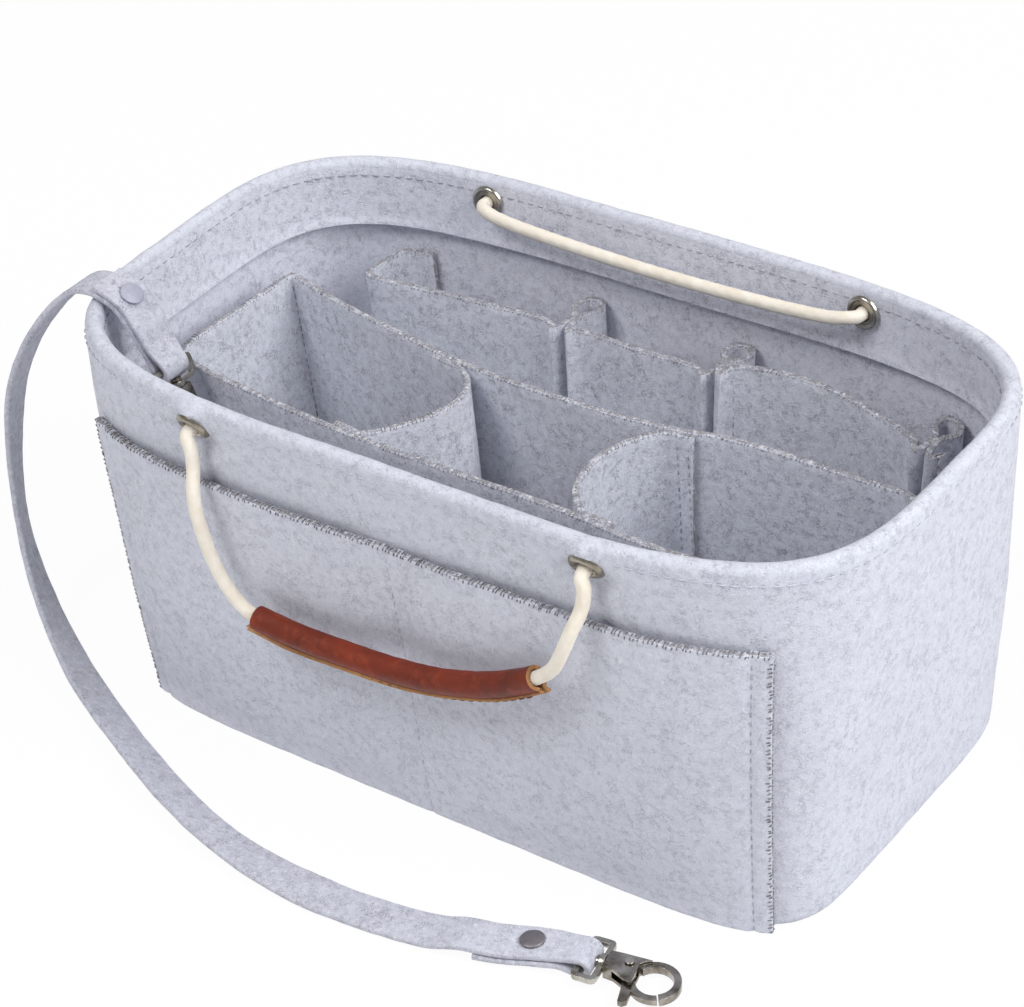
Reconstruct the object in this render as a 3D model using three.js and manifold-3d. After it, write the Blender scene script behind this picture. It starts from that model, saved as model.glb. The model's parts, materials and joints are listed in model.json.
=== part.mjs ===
// Felt purse organizer insert: a tapered tub with sewn pockets, two rope handles and a lanyard.
// Millimetres, +Z up. The origin is the middle of the base, on the surface that it stands on.
// X runs along the length, and the wide outer pocket is on the -Y side.

import * as THREE from 'three';
import { mergeVertices } from 'three/addons/utils/BufferGeometryUtils.js';
import Module from 'manifold-3d';

const wasm = await Module();
wasm.setup();

// Body
const rimLength = 300;
const rimDepth = 166;
const baseLength = 269.5;
const baseDepth = 144.5;
const bodyHeight = 139;
const rimPower = 3.9;
const basePower = 7.3;
const bodyFelt = 3;
const baseFelt = 3;
const sewnGap = 0.3;
const curvedGap = 0.5;
const outlineSteps = 88;
const outlineFineSteps = 720;

// Facing band inside the rim
const facingFelt = 2;
const facingHeight = 25;

// Inner box and its two curved dividers
const liningFelt = 2;
const boxTop = 110;
const panelLevelShares = [0, 0.5, 1];

// Pocket strip on the back wall
const stripTop = 104;
const pocketReach = 21;
const bowedReach = 14;
const bowedRise = 4;
const flangeLength = 9;
const loopWidth = 9;
const loopNeck = 2.9;
const loopNeckLength = 9;

// Wide pocket on the front wall, sewn down the middle
const pocketFelt = 2.5;
const pocketTop = 111;
const pocketTopWidth = 250;
const pocketBottomWidth = 239;
const pocketBulge = 6.2;

// Eyelets
const eyeletSpacing = 148.8;
const eyeletDrop = 9;
const eyeletBore = 6;
const eyeletFlange = 12;
const eyeletSheet = 0.5;
const eyeletRoll = 1.15;
const eyeletFlare = 9;
const eyeletSides = 16;
const feltHoleGap = 0.35;

// Rope handles
const ropeDiameter = 4.5;
const ropeSides = 10;
const pivotReach = 4.2;
const ropeSag = { front: 1.2, back: 3.2 };
const ropeInnerReach = { front: 9.8, back: 11.5 };
const ropeCorner = 9;

// Leather grips
const leather = 1.4;
const gripHeight = 11.2;
const gripFlangeGap = 0.3;
const gripSteps = 12;

// Lanyard strap
const strapWidth = 14;
const strapFelt = 2.2;
const strapBendGap = 0.7;
const layerGap = 0.4;
const foldBackLength = 34;
const foldTaper = 9;
const strapSteps = 72;
const foldSteps = 6;
const foldBackSteps = 6;

// Strap rivets
const innerRivetPlace = 25;
const outerRivetPlace = 17;
const rivetCap = 8;
const rivetDome = 1.2;
const rivetBack = 6.4;
const rivetPlate = 0.6;
const rivetShank = 2.2;
const rivetSocketWall = 0.5;
const rivetSides = 16;

// Swivel clasps
const claspPlate = 5.2;
const claspHookPlate = 2.8;
const claspGatePlate = 2;
const claspGap = 0.3;
const claspBowlRadius = 5.9;
const claspHookRadius = 8.2;
const claspBowlPlace = 16.7;
const claspBowlDrop = 2.4;
const claspNeck = 7.2;
const claspShoulder = 10.2;
const claspTipAngle = 58;
const claspMouthAngle = 4;
const claspPinPlace = 7.1;
const claspPinRise = 1;
const claspPinDiameter = 1.8;
const claspPinHead = 3;
const claspPinHeadPlate = 0.4;
const claspHubRadius = 2.3;
const claspLeverDrop = 14.4;
const claspLeverWidth = 2.6;
const claspSpringWire = 0.8;
const claspEyeWire = 2;
const claspEyeLength = 7.5;
const claspEyeRound = 2;
const claspBoss = 5.8;
const claspBossLength = 1.8;
const claspPost = 2.6;
const claspPostHead = 4.2;
const claspPostHeadPlate = 0.8;
const claspSpine = 3.1;

// Ring and tab that the lanyard hooks into
const ringWire = 2.2;
const ringWidth = 13;
const ringReach = 9;
const ringDrop = 19.5;
const ringPlaceShare = -0.758;
const ringSides = 8;
const tabWidth = 11;
const tabFelt = 1.6;
const tabLength = 15;

const overrun = 2;

// Colours
const paleFelt = new THREE.MeshStandardMaterial({ color: 0xc6c7d1, roughness: 0.95, metalness: 0 });
const liningColour = new THREE.MeshStandardMaterial({ color: 0xb9bbc7, roughness: 0.95, metalness: 0 });
const cotton = new THREE.MeshStandardMaterial({ color: 0xe9e1cf, roughness: 0.85, metalness: 0 });
const tanLeather = new THREE.MeshStandardMaterial({ color: 0x8c4527, roughness: 0.55, metalness: 0 });
const nickel = new THREE.MeshStandardMaterial({ color: 0xb4b2ad, roughness: 0.28, metalness: 1 });

const eyeletHeight = bodyHeight - eyeletDrop;

const insert = new THREE.Group();
const V2 = (x, y) => new THREE.Vector2(x, y);
const V3 = (x, y, z) => new THREE.Vector3(x, y, z);
const mix = THREE.MathUtils.lerp;
const radians = THREE.MathUtils.degToRad;

// Meshes and solids

function addPiece(name, geometry, material, parent = insert) {
  const mesh = new THREE.Mesh(geometry, material);
  mesh.name = name;
  parent.add(mesh);
  return mesh;
}

function signedVolume(points, faces) {
  let volume = 0;
  for (const [a, b, c] of faces) {
    volume += points[a].dot(V3(0, 0, 0).crossVectors(points[b], points[c]));
  }
  return volume / 6;
}

// A closed body from cross sections. A section goes out along one side and back along the other.
function skin(sections, closed = false) {
  const around = sections[0].length;
  const points = sections.flat();
  const faces = [];
  const spans = closed ? sections.length : sections.length - 1;
  for (let s = 0; s < spans; s += 1) {
    const here = s * around;
    const there = ((s + 1) % sections.length) * around;
    for (let p = 0; p < around; p += 1) {
      const q = (p + 1) % around;
      faces.push([here + p, there + p, there + q], [here + p, there + q, here + q]);
    }
  }
  if (!closed) {
    const end = (sections.length - 1) * around;
    for (let p = 0; p < around / 2 - 1; p += 1) {
      const q = around - 1 - p;
      faces.push([p, p + 1, q - 1], [p, q - 1, q]);
      faces.push([end + p, end + q - 1, end + p + 1], [end + p, end + q, end + q - 1]);
    }
  }
  if (signedVolume(points, faces) < 0) faces.forEach((face) => face.reverse());
  const geometry = new THREE.BufferGeometry();
  geometry.setAttribute('position',
    new THREE.Float32BufferAttribute(points.flatMap((point) => point.toArray()), 3));
  geometry.setIndex(faces.flat());
  return geometry;
}

function toSolid(geometry) {
  const bare = geometry.clone();
  bare.deleteAttribute('normal');
  bare.deleteAttribute('uv');
  const merged = mergeVertices(bare);
  return new wasm.Manifold(new wasm.Mesh({
    numProp: 3,
    vertProperties: new Float32Array(merged.attributes.position.array),
    triVerts: new Uint32Array(merged.index.array),
  }));
}

function toGeometry(solid) {
  const mesh = solid.getMesh();
  const geometry = new THREE.BufferGeometry();
  geometry.setAttribute('position', new THREE.BufferAttribute(mesh.vertProperties, 3));
  geometry.setIndex(new THREE.BufferAttribute(mesh.triVerts, 1));
  return geometry;
}

function cut(geometry, tools) {
  return toGeometry(tools.reduce((solid, tool) => solid.subtract(toSolid(tool)), toSolid(geometry)));
}

function join(geometries) {
  return toGeometry(geometries.map(toSolid).reduce((solid, other) => solid.add(other)));
}

// A plate of the given outline, centred on its own plane.
function plate(points, thickness) {
  const geometry = new THREE.ExtrudeGeometry(new THREE.Shape(points),
    { depth: thickness, bevelEnabled: false });
  return geometry.translate(0, 0, -thickness / 2);
}

function disc(x, y, radius, thickness, sides = eyeletSides) {
  return new THREE.CylinderGeometry(radius, radius, thickness, sides)
    .rotateX(Math.PI / 2).translate(x, y, 0);
}

// Body outline: a superellipse that is squarer at the base than at the rim

function bodyAt(z, inset) {
  const share = z / bodyHeight;
  return {
    halfX: mix(baseLength, rimLength, share) / 2 - inset,
    halfY: mix(baseDepth, rimDepth, share) / 2 - inset,
    power: mix(basePower, rimPower, share),
  };
}

function outline(z, inset) {
  const { halfX, halfY, power } = bodyAt(z, inset);
  const bend = (value) => Math.sign(value) * Math.abs(value) ** (2 / power);
  const fine = [];
  for (let step = 0; step <= outlineFineSteps; step += 1) {
    const angle = (2 * Math.PI * step) / outlineFineSteps;
    fine.push(V2(halfX * bend(Math.cos(angle)), halfY * bend(Math.sin(angle))));
  }
  const path = new THREE.CurvePath();
  for (let step = 0; step < outlineFineSteps; step += 1) {
    path.add(new THREE.LineCurve(fine[step], fine[step + 1]));
  }
  return path.getSpacedPoints(outlineSteps).slice(0, outlineSteps);
}

function wallY(x, z, inset) {
  const { halfX, halfY, power } = bodyAt(z, inset);
  return halfY * (1 - Math.abs(x / halfX) ** power) ** (1 / power);
}

function wallNormal(x, z) {
  const { halfX, halfY, power } = bodyAt(z, 0);
  const along = Math.sign(x) * (Math.abs(x) / halfX) ** (power - 1) / halfX;
  const across = (wallY(x, z, 0) / halfY) ** (power - 1) / halfY;
  return V2(along, across).normalize();
}

// A felt band that follows the body's outline between two insets
function wallBand(insetOut, insetIn, levels) {
  const outer = levels.map((z) => outline(z, insetOut).map((p) => V3(p.x, p.y, z)));
  const back = levels.map((z) => outline(z, insetIn).map((p) => V3(p.x, p.y, z)));
  const sections = [];
  for (let step = 0; step < outlineSteps; step += 1) {
    const section = outer.map((ring) => ring[step]);
    section.push(...back.map((ring) => ring[step]).reverse());
    sections.push(section);
  }
  return skin(sections, true);
}

// Eyelets: the barrel is set from outside and flared over a washer inside

const eyeletStack = bodyFelt + curvedGap + facingFelt;

function eyeletFrame(sideX, sideY) {
  const x = sideX * eyeletSpacing / 2;
  const y = wallY(x, eyeletHeight, 0);
  const plan = wallNormal(x, eyeletHeight);
  const lean = (wallY(x, bodyHeight, 0) - y) / (bodyHeight - eyeletHeight);
  const axis = V3(plan.x, sideY * plan.y, -lean).normalize();
  return { centre: V3(x, sideY * y, eyeletHeight), axis };
}

const eyelets = {
  front_left: eyeletFrame(-1, -1),
  front_right: eyeletFrame(1, -1),
  back_left: eyeletFrame(-1, 1),
  back_right: eyeletFrame(1, 1),
};

function alongAxis(geometry, { centre, axis }) {
  const turn = new THREE.Quaternion().setFromUnitVectors(V3(0, 1, 0), axis);
  return geometry.applyQuaternion(turn).translate(...centre.toArray());
}

function eyeletHole(frame) {
  const radius = eyeletBore / 2 + eyeletSheet + feltHoleGap;
  const length = 2 * (eyeletStack + overrun);
  return alongAxis(new THREE.CylinderGeometry(radius, radius, length, eyeletSides), frame);
}

// The dent that each washer presses into the facing
function washerDent(frame) {
  const radius = eyeletFlange / 2 + sewnGap;
  const dent = new THREE.CylinderGeometry(radius, radius, eyeletSheet + sewnGap, eyeletSides);
  return alongAxis(dent.translate(0, -eyeletStack - sewnGap - eyeletSheet / 2, 0), frame);
}

function eyeletBarrel() {
  const bore = eyeletBore / 2;
  const tube = bore + eyeletSheet;
  const flange = eyeletFlange / 2;
  const tail = -(eyeletStack + sewnGap + eyeletSheet + sewnGap);
  const profile = [
    V2(bore, tail - eyeletSheet), V2(bore, eyeletRoll / 2), V2(tube, eyeletRoll + sewnGap / 2),
    V2((tube + flange) / 2, eyeletRoll + sewnGap), V2(flange - eyeletSheet, eyeletRoll),
    V2(flange, sewnGap + eyeletSheet / 2), V2(flange - eyeletSheet / 2, sewnGap), V2(tube, sewnGap),
    V2(tube, tail), V2(eyeletFlare / 2, tail), V2(eyeletFlare / 2, tail - eyeletSheet),
    V2(bore, tail - eyeletSheet),
  ];
  return new THREE.LatheGeometry(profile.reverse(), eyeletSides);
}

function eyeletWasher() {
  const bore = eyeletBore / 2 + eyeletSheet + feltHoleGap;
  const face = -(eyeletStack + sewnGap);
  const profile = [
    V2(bore, face - eyeletSheet), V2(eyeletFlange / 2, face - eyeletSheet),
    V2(eyeletFlange / 2, face), V2(bore, face), V2(bore, face - eyeletSheet),
  ];
  return new THREE.LatheGeometry(profile, eyeletSides);
}

const eyeletHoles = Object.values(eyelets).map(eyeletHole);
const washerDents = Object.values(eyelets).map(washerDent);

// Body pieces

const facingBottom = bodyHeight - facingHeight;
const boxBottom = baseFelt + sewnGap;

const wallLevels = [0, facingBottom / 3, facingBottom * 2 / 3, facingBottom, bodyHeight];
const facingInset = bodyFelt + curvedGap;

addPiece('shell_wall', cut(wallBand(0, bodyFelt, wallLevels), eyeletHoles), paleFelt);
addPiece('rim_facing', cut(wallBand(facingInset, facingInset + facingFelt,
  [facingBottom, bodyHeight]), [...eyeletHoles, ...washerDents]), paleFelt);
addPiece('base_panel',
  new THREE.ExtrudeGeometry(new THREE.Shape(outline(0, bodyFelt + sewnGap)),
    { depth: baseFelt, bevelEnabled: false }), liningColour);

for (const [place, frame] of Object.entries(eyelets)) {
  addPiece(`${place}_eyelet`, alongAxis(eyeletBarrel(), frame), nickel);
  addPiece(`${place}_eyelet_washer`, alongAxis(eyeletWasher(), frame), nickel);
}

// Standing felt panels, drawn as centre lines in plan

function smooth(points, steps, closed = false) {
  const curve = new THREE.CatmullRomCurve3(points.map((p) => V3(p.x, p.y, 0)), closed, 'centripetal');
  const spans = closed ? points.length : points.length - 1;
  const line = curve.getPoints(spans * steps).map((p) => V2(p.x, p.y));
  return closed ? line.slice(0, -1) : line;
}

function sideways(line, index, closed) {
  const count = line.length;
  const before = closed ? line[(index + count - 1) % count] : line[Math.max(index - 1, 0)];
  const after = closed ? line[(index + 1) % count] : line[Math.min(index + 1, count - 1)];
  const along = after.clone().sub(before).normalize();
  return V2(-along.y, along.x);
}

function standingPanel(centreLine, felt, bottom, topAt, closed = false) {
  const count = centreLine(bottom).length;
  const sections = [];
  for (let index = 0; index < count; index += 1) {
    const top = topAt(index / (count - 1));
    const left = [];
    const right = [];
    for (const share of panelLevelShares) {
      const z = mix(bottom, top, share);
      const line = centreLine(z);
      const offset = sideways(line, index, closed).multiplyScalar(felt / 2);
      left.push(V3(line[index].x + offset.x, line[index].y + offset.y, z));
      right.push(V3(line[index].x - offset.x, line[index].y - offset.y, z));
    }
    sections.push([...left, ...right.reverse()]);
  }
  return skin(sections, closed);
}

// Places in plan as shares of the body's inner half length and half depth
function inPlan(shares, z) {
  const { halfX, halfY } = bodyAt(z, bodyFelt);
  return shares.map(([alongShare, acrossShare]) => V2(alongShare * halfX, acrossShare * halfY));
}

// Inner box

const boxFrontShares = [
  [-0.845, -0.385], [-0.63, -0.44], [-0.49, -0.465], [-0.31, -0.49], [0, -0.495],
  [0.265, -0.5], [0.41, -0.525], [0.577, -0.515], [0.7, -0.475], [0.84, -0.4],
];
const boxRightShares = [[0.885, -0.335], [0.9, -0.2], [0.9, 0.05], [0.885, 0.2], [0.865, 0.255]];
const boxBackShares = [
  [0.83, 0.265], [0.72, 0.26], [0.572, 0.262], [0.395, 0.245], [0.3, 0.205], [0.152, 0.174],
  [0, 0.162], [-0.164, 0.165], [-0.338, 0.19], [-0.5, 0.24], [-0.708, 0.314], [-0.84, 0.38],
];
const boxLeftShares = [[-0.878, 0.4], [-0.892, 0.36], [-0.9, 0.06], [-0.908, -0.25], [-0.895, -0.345]];
const boxShares = [...boxFrontShares, ...boxRightShares, ...boxBackShares, ...boxLeftShares];

const boxLine = (z) => smooth(inPlan(boxShares, z), 2, true);

addPiece('inner_box', standingPanel(boxLine, liningFelt, boxBottom, () => boxTop, true), liningColour);

// Where the box's front or back panel lies at a given place along the length
function boxY(x, z, backPanel) {
  const line = boxLine(z);
  let found = 0;
  line.forEach((here, index) => {
    const there = line[(index + 1) % line.length];
    const spans = (here.x - x) * (there.x - x) <= 0 && here.x !== there.x;
    const y = here.y + (there.y - here.y) * (x - here.x) / (there.x - here.x);
    if (spans && (y > 0) === backPanel) found = y;
  });
  return found;
}

// Dividers run from a flange on the box's back panel to a flange on its front panel

const flangeReach = liningFelt + curvedGap;
const dividerLeft = {
  backShares: [-0.375, -0.335, -0.295],
  bowShares: [[-0.25, 0.1], [-0.222, 0.02], [-0.212, -0.08], [-0.225, -0.2], [-0.262, -0.33]],
  frontShares: [-0.32, -0.36, -0.4],
};
const dividerRight = {
  backShares: [0.335, 0.3, 0.27],
  bowShares: [[0.225, 0.06], [0.203, -0.03], [0.194, -0.13], [0.2, -0.25], [0.222, -0.36]],
  frontShares: [0.285, 0.325, 0.365],
};

function dividerLine({ backShares, bowShares, frontShares }) {
  return (z) => {
    const { halfX } = bodyAt(z, bodyFelt);
    const seat = (share, backPanel) => {
      const x = share * halfX;
      return V2(x, boxY(x, z, backPanel) + (backPanel ? -flangeReach : flangeReach));
    };
    return smooth([
      ...backShares.map((share) => seat(share, true)),
      ...inPlan(bowShares, z),
      ...frontShares.map((share) => seat(share, false)),
    ], 2);
  };
}

addPiece('divider_left',
  standingPanel(dividerLine(dividerLeft), liningFelt, boxBottom, () => boxTop), liningColour);
addPiece('divider_right',
  standingPanel(dividerLine(dividerRight), liningFelt, boxBottom, () => boxTop), liningColour);

// Back pocket strip: three pockets with a pen loop between each two and one at the right end

const stripLeftShare = -0.765;
const loopShares = [-0.218, 0.2, 0.77];
const stripRightShare = 0.81;
const wallSeat = curvedGap + liningFelt / 2;

function penLoop(centre, back) {
  const neck = loopNeck / 2;
  const wide = loopWidth / 2;
  return [
    [centre - neck, -pocketReach + liningFelt / 2], [centre - neck, -pocketReach + loopNeckLength],
    [centre - wide, -back - wide - liningFelt], [centre - wide + loopNeck / 2, -back - liningFelt / 2],
    [centre, -back],
    [centre + wide - loopNeck / 2, -back - liningFelt / 2], [centre + wide, -back - wide - liningFelt],
    [centre + neck, -pocketReach + loopNeckLength], [centre + neck, -pocketReach + liningFelt / 2],
  ];
}

function stripLine(z) {
  const { halfX } = bodyAt(z, bodyFelt);
  const left = stripLeftShare * halfX;
  const right = stripRightShare * halfX;
  const [first, second, third] = loopShares.map((share) => share * halfX);
  const lip = loopNeck + liningFelt;
  const places = [
    [left + flangeLength + liningFelt, -wallSeat], [left + liningFelt, -wallSeat],
    [left, -wallSeat - liningFelt], [left - liningFelt, -pocketReach + liningFelt],
    [left, -pocketReach], [mix(left, first, 0.5), -pocketReach - liningFelt / 2],
    [first - lip, -pocketReach], ...penLoop(first, wallSeat), [first + lip, -pocketReach],
    [mix(first, second, 0.5), -pocketReach], [second - lip, -pocketReach],
    ...penLoop(second, wallSeat), [second + lip, -pocketReach + liningFelt],
    [mix(second, third, 0.3), -bowedReach - liningFelt / 2], [mix(second, third, 0.55), -bowedReach],
    [mix(second, third, 0.8), -bowedReach - liningFelt], [third - lip, -pocketReach + liningFelt],
    ...penLoop(third, wallSeat), [third + lip, -pocketReach + liningFelt], [right, -pocketReach],
  ];
  return smooth(places.map(([x, reach]) => V2(x, wallY(x, z, bodyFelt) + reach)), 2);
}

const bowStartShare = 0.62;
const bowEndShare = 0.8;

function stripTopAt(share) {
  const across = (share - bowStartShare) / (bowEndShare - bowStartShare);
  return stripTop + (across > 0 && across < 1 ? bowedRise * Math.sin(Math.PI * across) : 0);
}

addPiece('back_pocket_strip', standingPanel(stripLine, liningFelt, boxBottom, stripTopAt), liningColour);

// Wide front pocket, flush on the wall at its bottom, sides and middle seam

const pocketHalfShares = [
  [0, 0], [0.025, 0], [0.1, 0.5], [0.25, 0.9], [0.45, 1], [0.65, 0.95], [0.78, 0.72], [0.87, 0.35],
  [0.93, 0.08], [0.965, 0], [1, 0],
];
const pocketRowShares = [[0, 0], [0.04, 0], [0.14, 0.5], [0.4, 0.85], [0.7, 0.95], [1, 1]];
const pocketColumnShares = [
  ...pocketHalfShares.slice(1).reverse().map(([place, bulge]) => [-place, bulge]), ...pocketHalfShares,
];

function pocketPoint([alongShare, bulgeShare], [riseShare, openShare], lift) {
  const z = pocketTop * riseShare;
  const x = alongShare * mix(pocketBottomWidth, pocketTopWidth, riseShare) / 2;
  const normal = wallNormal(x, z);
  const off = curvedGap + pocketBulge * bulgeShare * openShare + lift;
  return V3(x + normal.x * off, -(wallY(x, z, 0) + normal.y * off), z);
}

addPiece('front_pocket_panel', skin(pocketColumnShares.map((column) => [
  ...pocketRowShares.map((row) => pocketPoint(column, row, 0)),
  ...pocketRowShares.map((row) => pocketPoint(column, row, pocketFelt)).reverse(),
])), paleFelt);

// Rope handles: one rope per side, through both eyelets, with a leather grip on its outer run.
// The outer run starts in a ball at each pivot, and the inner run starts just behind the ball.

const ropeRadius = ropeDiameter / 2;

function ropePivot(frame) {
  return frame.centre.clone().addScaledVector(frame.axis, pivotReach);
}

// Rings of a half ball: how far out each one is and how wide, as shares of its radius
const ballShares = [[0.96, 0.28], [0.8, 0.6], [0.5, 0.866], [0.24, 0.97]];

// A tube of rings square to a curve, ending in half balls where asked
function tubeAlong(curve, steps, radius, sides, balls) {
  const frames = curve.computeFrenetFrames(steps, false);
  const ring = (index, centre, size) => {
    const points = [];
    for (let side = 0; side < sides; side += 1) {
      const angle = (2 * Math.PI * side) / sides;
      points.push(centre.clone()
        .addScaledVector(frames.normals[index], size * Math.cos(angle))
        .addScaledVector(frames.binormals[index], size * Math.sin(angle)));
    }
    return points;
  };
  const ball = (index, direction) => ballShares.map(([backShare, sizeShare]) => ring(index,
    curve.getPointAt(index / steps).addScaledVector(frames.tangents[index], direction * backShare * radius),
    sizeShare * radius));
  const sections = balls ? ball(0, -1) : [];
  for (let step = 0; step <= steps; step += 1) {
    sections.push(ring(step, curve.getPointAt(step / steps), radius));
  }
  if (balls) sections.push(...ball(steps, 1).reverse());
  return skin(sections);
}

// Route of the front handle's outer run between its pivots; the back handle mirrors it.
// The grip covers it from its first to its last grip point.
const handleRoute = [
  [-72.4, -85.6, 125], [-69.6, -86.8, 118.6], [-67, -91.2, 112.5], [-65.8, -92.7, 106],
  [-65, -92.8, 98], [-63.6, -92.6, 90], [-60.3, -92.2, 81], [-54.5, -91.8, 73.8], [-49, -91.6, 71.3],
  [-40, -91.5, 70.4], [-31, -91.5, 70], [-11, -91.5, 70.6], [6, -91.5, 71.7], [24, -91.5, 74.6],
  [43, -91.7, 81], [55, -92, 87.2], [61, -92.3, 91], [67.5, -92.6, 97], [73, -92.6, 105],
  [75.6, -91.4, 112], [76.2, -87.2, 118.8], [75.4, -85.7, 125],
];
const gripFirst = 8;
const gripLast = 16;

function sideRoute(sideY, points) {
  return points.map(([x, y, z]) => V3(x, -sideY * y, z));
}

function outerRun(sideY, left, right) {
  return new THREE.CatmullRomCurve3(
    [ropePivot(left), ...sideRoute(sideY, handleRoute), ropePivot(right)], false, 'centripetal');
}

// The front rope is drawn tight inside by the weight of its grip, and the back one hangs looser
function innerRun(side, sideY, left, right) {
  const reach = ropeInnerReach[side];
  const sag = ropeSag[side];
  const behind = (frame) => ropePivot(frame).addScaledVector(frame.axis, -(ropeRadius + sewnGap));
  const inside = (frame) => frame.centre.clone().addScaledVector(frame.axis, -(reach - ropeRadius));
  const turned = (frame, direction) => frame.centre.clone()
    .addScaledVector(frame.axis, -reach).add(V3(direction * ropeRadius, 0, 0));
  const away = (frame, direction) => frame.centre.clone().addScaledVector(frame.axis, -reach)
    .add(V3(direction * ropeCorner, -sideY * sag / 3, -sag / 3));
  const middle = V3(0, sideY * (wallY(0, eyeletHeight, 0) - reach - ropeRadius), eyeletHeight - sag);
  return new THREE.CatmullRomCurve3([
    behind(left), left.centre.clone(), inside(left), turned(left, 1), away(left, 1), middle,
    away(right, -1), turned(right, -1), inside(right), right.centre.clone(), behind(right),
  ], false, 'centripetal');
}

const outerRunSteps = 46;
const innerRunSteps = 34;

// The grip is one strip of leather, folded over the rope, its two edges sewn together below
function gripSection(centre, along, outward) {
  const up = outward.clone().cross(along).normalize();
  if (up.z < 0) up.negate();
  const bore = ropeRadius + sewnGap;
  const slit = gripFlangeGap / 2;
  const bottom = bore + leather - gripHeight;
  const foldAngles = [-35, 5, 45, 90, 135, 175, 215].map(radians);
  const arc = (radius) => foldAngles.map((angle) => [radius * Math.cos(angle), radius * Math.sin(angle)]);
  const outside = [
    [slit + leather, bottom], [slit + leather, -bore - leather], ...arc(bore + leather),
    [-slit - leather, -bore - leather], [-slit - leather, bottom],
  ];
  const lining = [
    [slit, bottom], [slit, -bore - leather / 2], ...arc(bore),
    [-slit, -bore - leather / 2], [-slit, bottom],
  ];
  return [...outside, ...lining.reverse()].map(([side, rise]) => centre.clone()
    .addScaledVector(outward, side).addScaledVector(up, rise));
}

function grip(sideY) {
  const sleeve = new THREE.CatmullRomCurve3(
    sideRoute(sideY, handleRoute).slice(gripFirst, gripLast + 1), false, 'centripetal');
  const sections = [];
  for (let step = 0; step <= gripSteps; step += 1) {
    const share = step / gripSteps;
    sections.push(gripSection(sleeve.getPointAt(share), sleeve.getTangentAt(share), V3(0, sideY, 0)));
  }
  return skin(sections);
}

for (const [side, sideY] of [['front', -1], ['back', 1]]) {
  const left = eyelets[`${side}_left`];
  const right = eyelets[`${side}_right`];
  addPiece(`${side}_rope_outer_run`,
    tubeAlong(outerRun(sideY, left, right), outerRunSteps, ropeRadius, ropeSides, true), cotton);
  addPiece(`${side}_rope_inner_run`,
    tubeAlong(innerRun(side, sideY, left, right), innerRunSteps, ropeRadius, ropeSides, false), cotton);
  addPiece(`${side}_leather_grip`, grip(sideY), tanLeather);
}

// Swivel clasps, drawn flat: X runs from the collar to the hook, Y across and Z through the plate

const bowl = V2(claspBowlPlace, -claspBowlDrop);
const pin = V2(claspPinPlace, claspPinRise);

// A round rod along the collar's axis, centred at a place on it
function rod(radius, length, place) {
  return new THREE.CylinderGeometry(radius, radius, length, eyeletSides)
    .rotateZ(Math.PI / 2).translate(place, 0, 0);
}

function arcPoints(centre, radius, from, to, steps) {
  const points = [];
  for (let step = 0; step <= steps; step += 1) {
    const angle = radians(mix(from, to, step / steps));
    points.push(V2(centre.x + radius * Math.cos(angle), centre.y + radius * Math.sin(angle)));
  }
  return points;
}

const hookBack = 150;
const gateBack = 215;
const hookArcSteps = 18;
const gateArcSteps = 7;

function claspHook() {
  const half = claspNeck / 2;
  const hook = plate([
    ...arcPoints(bowl, claspHookRadius, -claspTipAngle, hookBack, hookArcSteps),
    ...arcPoints(bowl, claspBowlRadius, hookBack, -claspTipAngle, hookArcSteps),
  ], claspHookPlate);
  const front = claspBowlPlace - claspBowlRadius - claspGap;
  const body = plate([
    V2(0, -half), V2(claspPinPlace / 2, -half - claspGap), V2(front - claspGap, -claspShoulder + claspSpine),
    V2(front + claspGap, -claspShoulder + claspSpine + claspGap), V2(front, -claspBowlDrop),
    ...arcPoints(bowl, claspHookRadius - claspHookPlate / 4, hookBack, 117, 3),
    V2(claspPinPlace / 2, half + claspGap), V2(0, half),
  ], claspPlate);
  const post = claspBossLength + 2 * claspGap;
  const stem = rod(claspPost / 2, post + 2 * claspPostHeadPlate, -post / 2);
  const head = rod(claspPostHead / 2, claspPostHeadPlate, -post - claspPostHeadPlate / 2);
  const slotPlate = claspGatePlate + 2 * claspGap;
  const slot = plate([
    V2(claspSpine, -claspShoulder - overrun), V2(claspBowlPlace, -claspShoulder - overrun),
    V2(claspBowlPlace, claspPinRise - claspHubRadius / 2), V2(claspPinPlace, claspPinRise),
    V2(claspSpine, claspPinRise - claspHubRadius),
  ], slotPlate);
  const hubRoom = disc(pin.x, pin.y, claspHubRadius + claspGap, slotPlate);
  const pinHole = disc(pin.x, pin.y, claspPinDiameter / 2 + claspGap, claspPlate + overrun);
  return cut(join([hook, cut(body, [slot, hubRoom]), stem, head]), [pinHole]);
}

function claspGate() {
  const reach = claspTipAngle + claspMouthAngle;
  const lever = V2(claspBowlPlace - claspBowlRadius, -claspLeverDrop);
  const arm = plate([
    V2(pin.x + claspHubRadius / 2, pin.y - claspHubRadius / 2),
    ...arcPoints(bowl, claspBowlRadius, gateBack - 360, -reach, gateArcSteps),
    ...arcPoints(bowl, claspHookRadius, -reach, -128, gateArcSteps),
    V2(lever.x + claspLeverWidth / 2, lever.y + claspLeverWidth / 2), V2(lever.x, lever.y),
    V2(lever.x - claspLeverWidth / 2, lever.y + claspGap),
    V2(lever.x - claspLeverWidth, -claspHookRadius),
    V2(pin.x - claspHubRadius / 2, pin.y - claspHubRadius / 2),
  ], claspGatePlate);
  const hub = disc(pin.x, pin.y, claspHubRadius, claspGatePlate);
  const pinHole = disc(pin.x, pin.y, claspPinDiameter / 2 + claspGap, claspGatePlate + overrun);
  const springRoom = disc(pin.x, pin.y, claspHubRadius + claspGap, claspSpringWire + claspGap)
    .translate(0, 0, claspGatePlate / 2 - (claspSpringWire - claspGap) / 2);
  return cut(join([arm, hub]), [pinHole, springRoom]);
}

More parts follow.
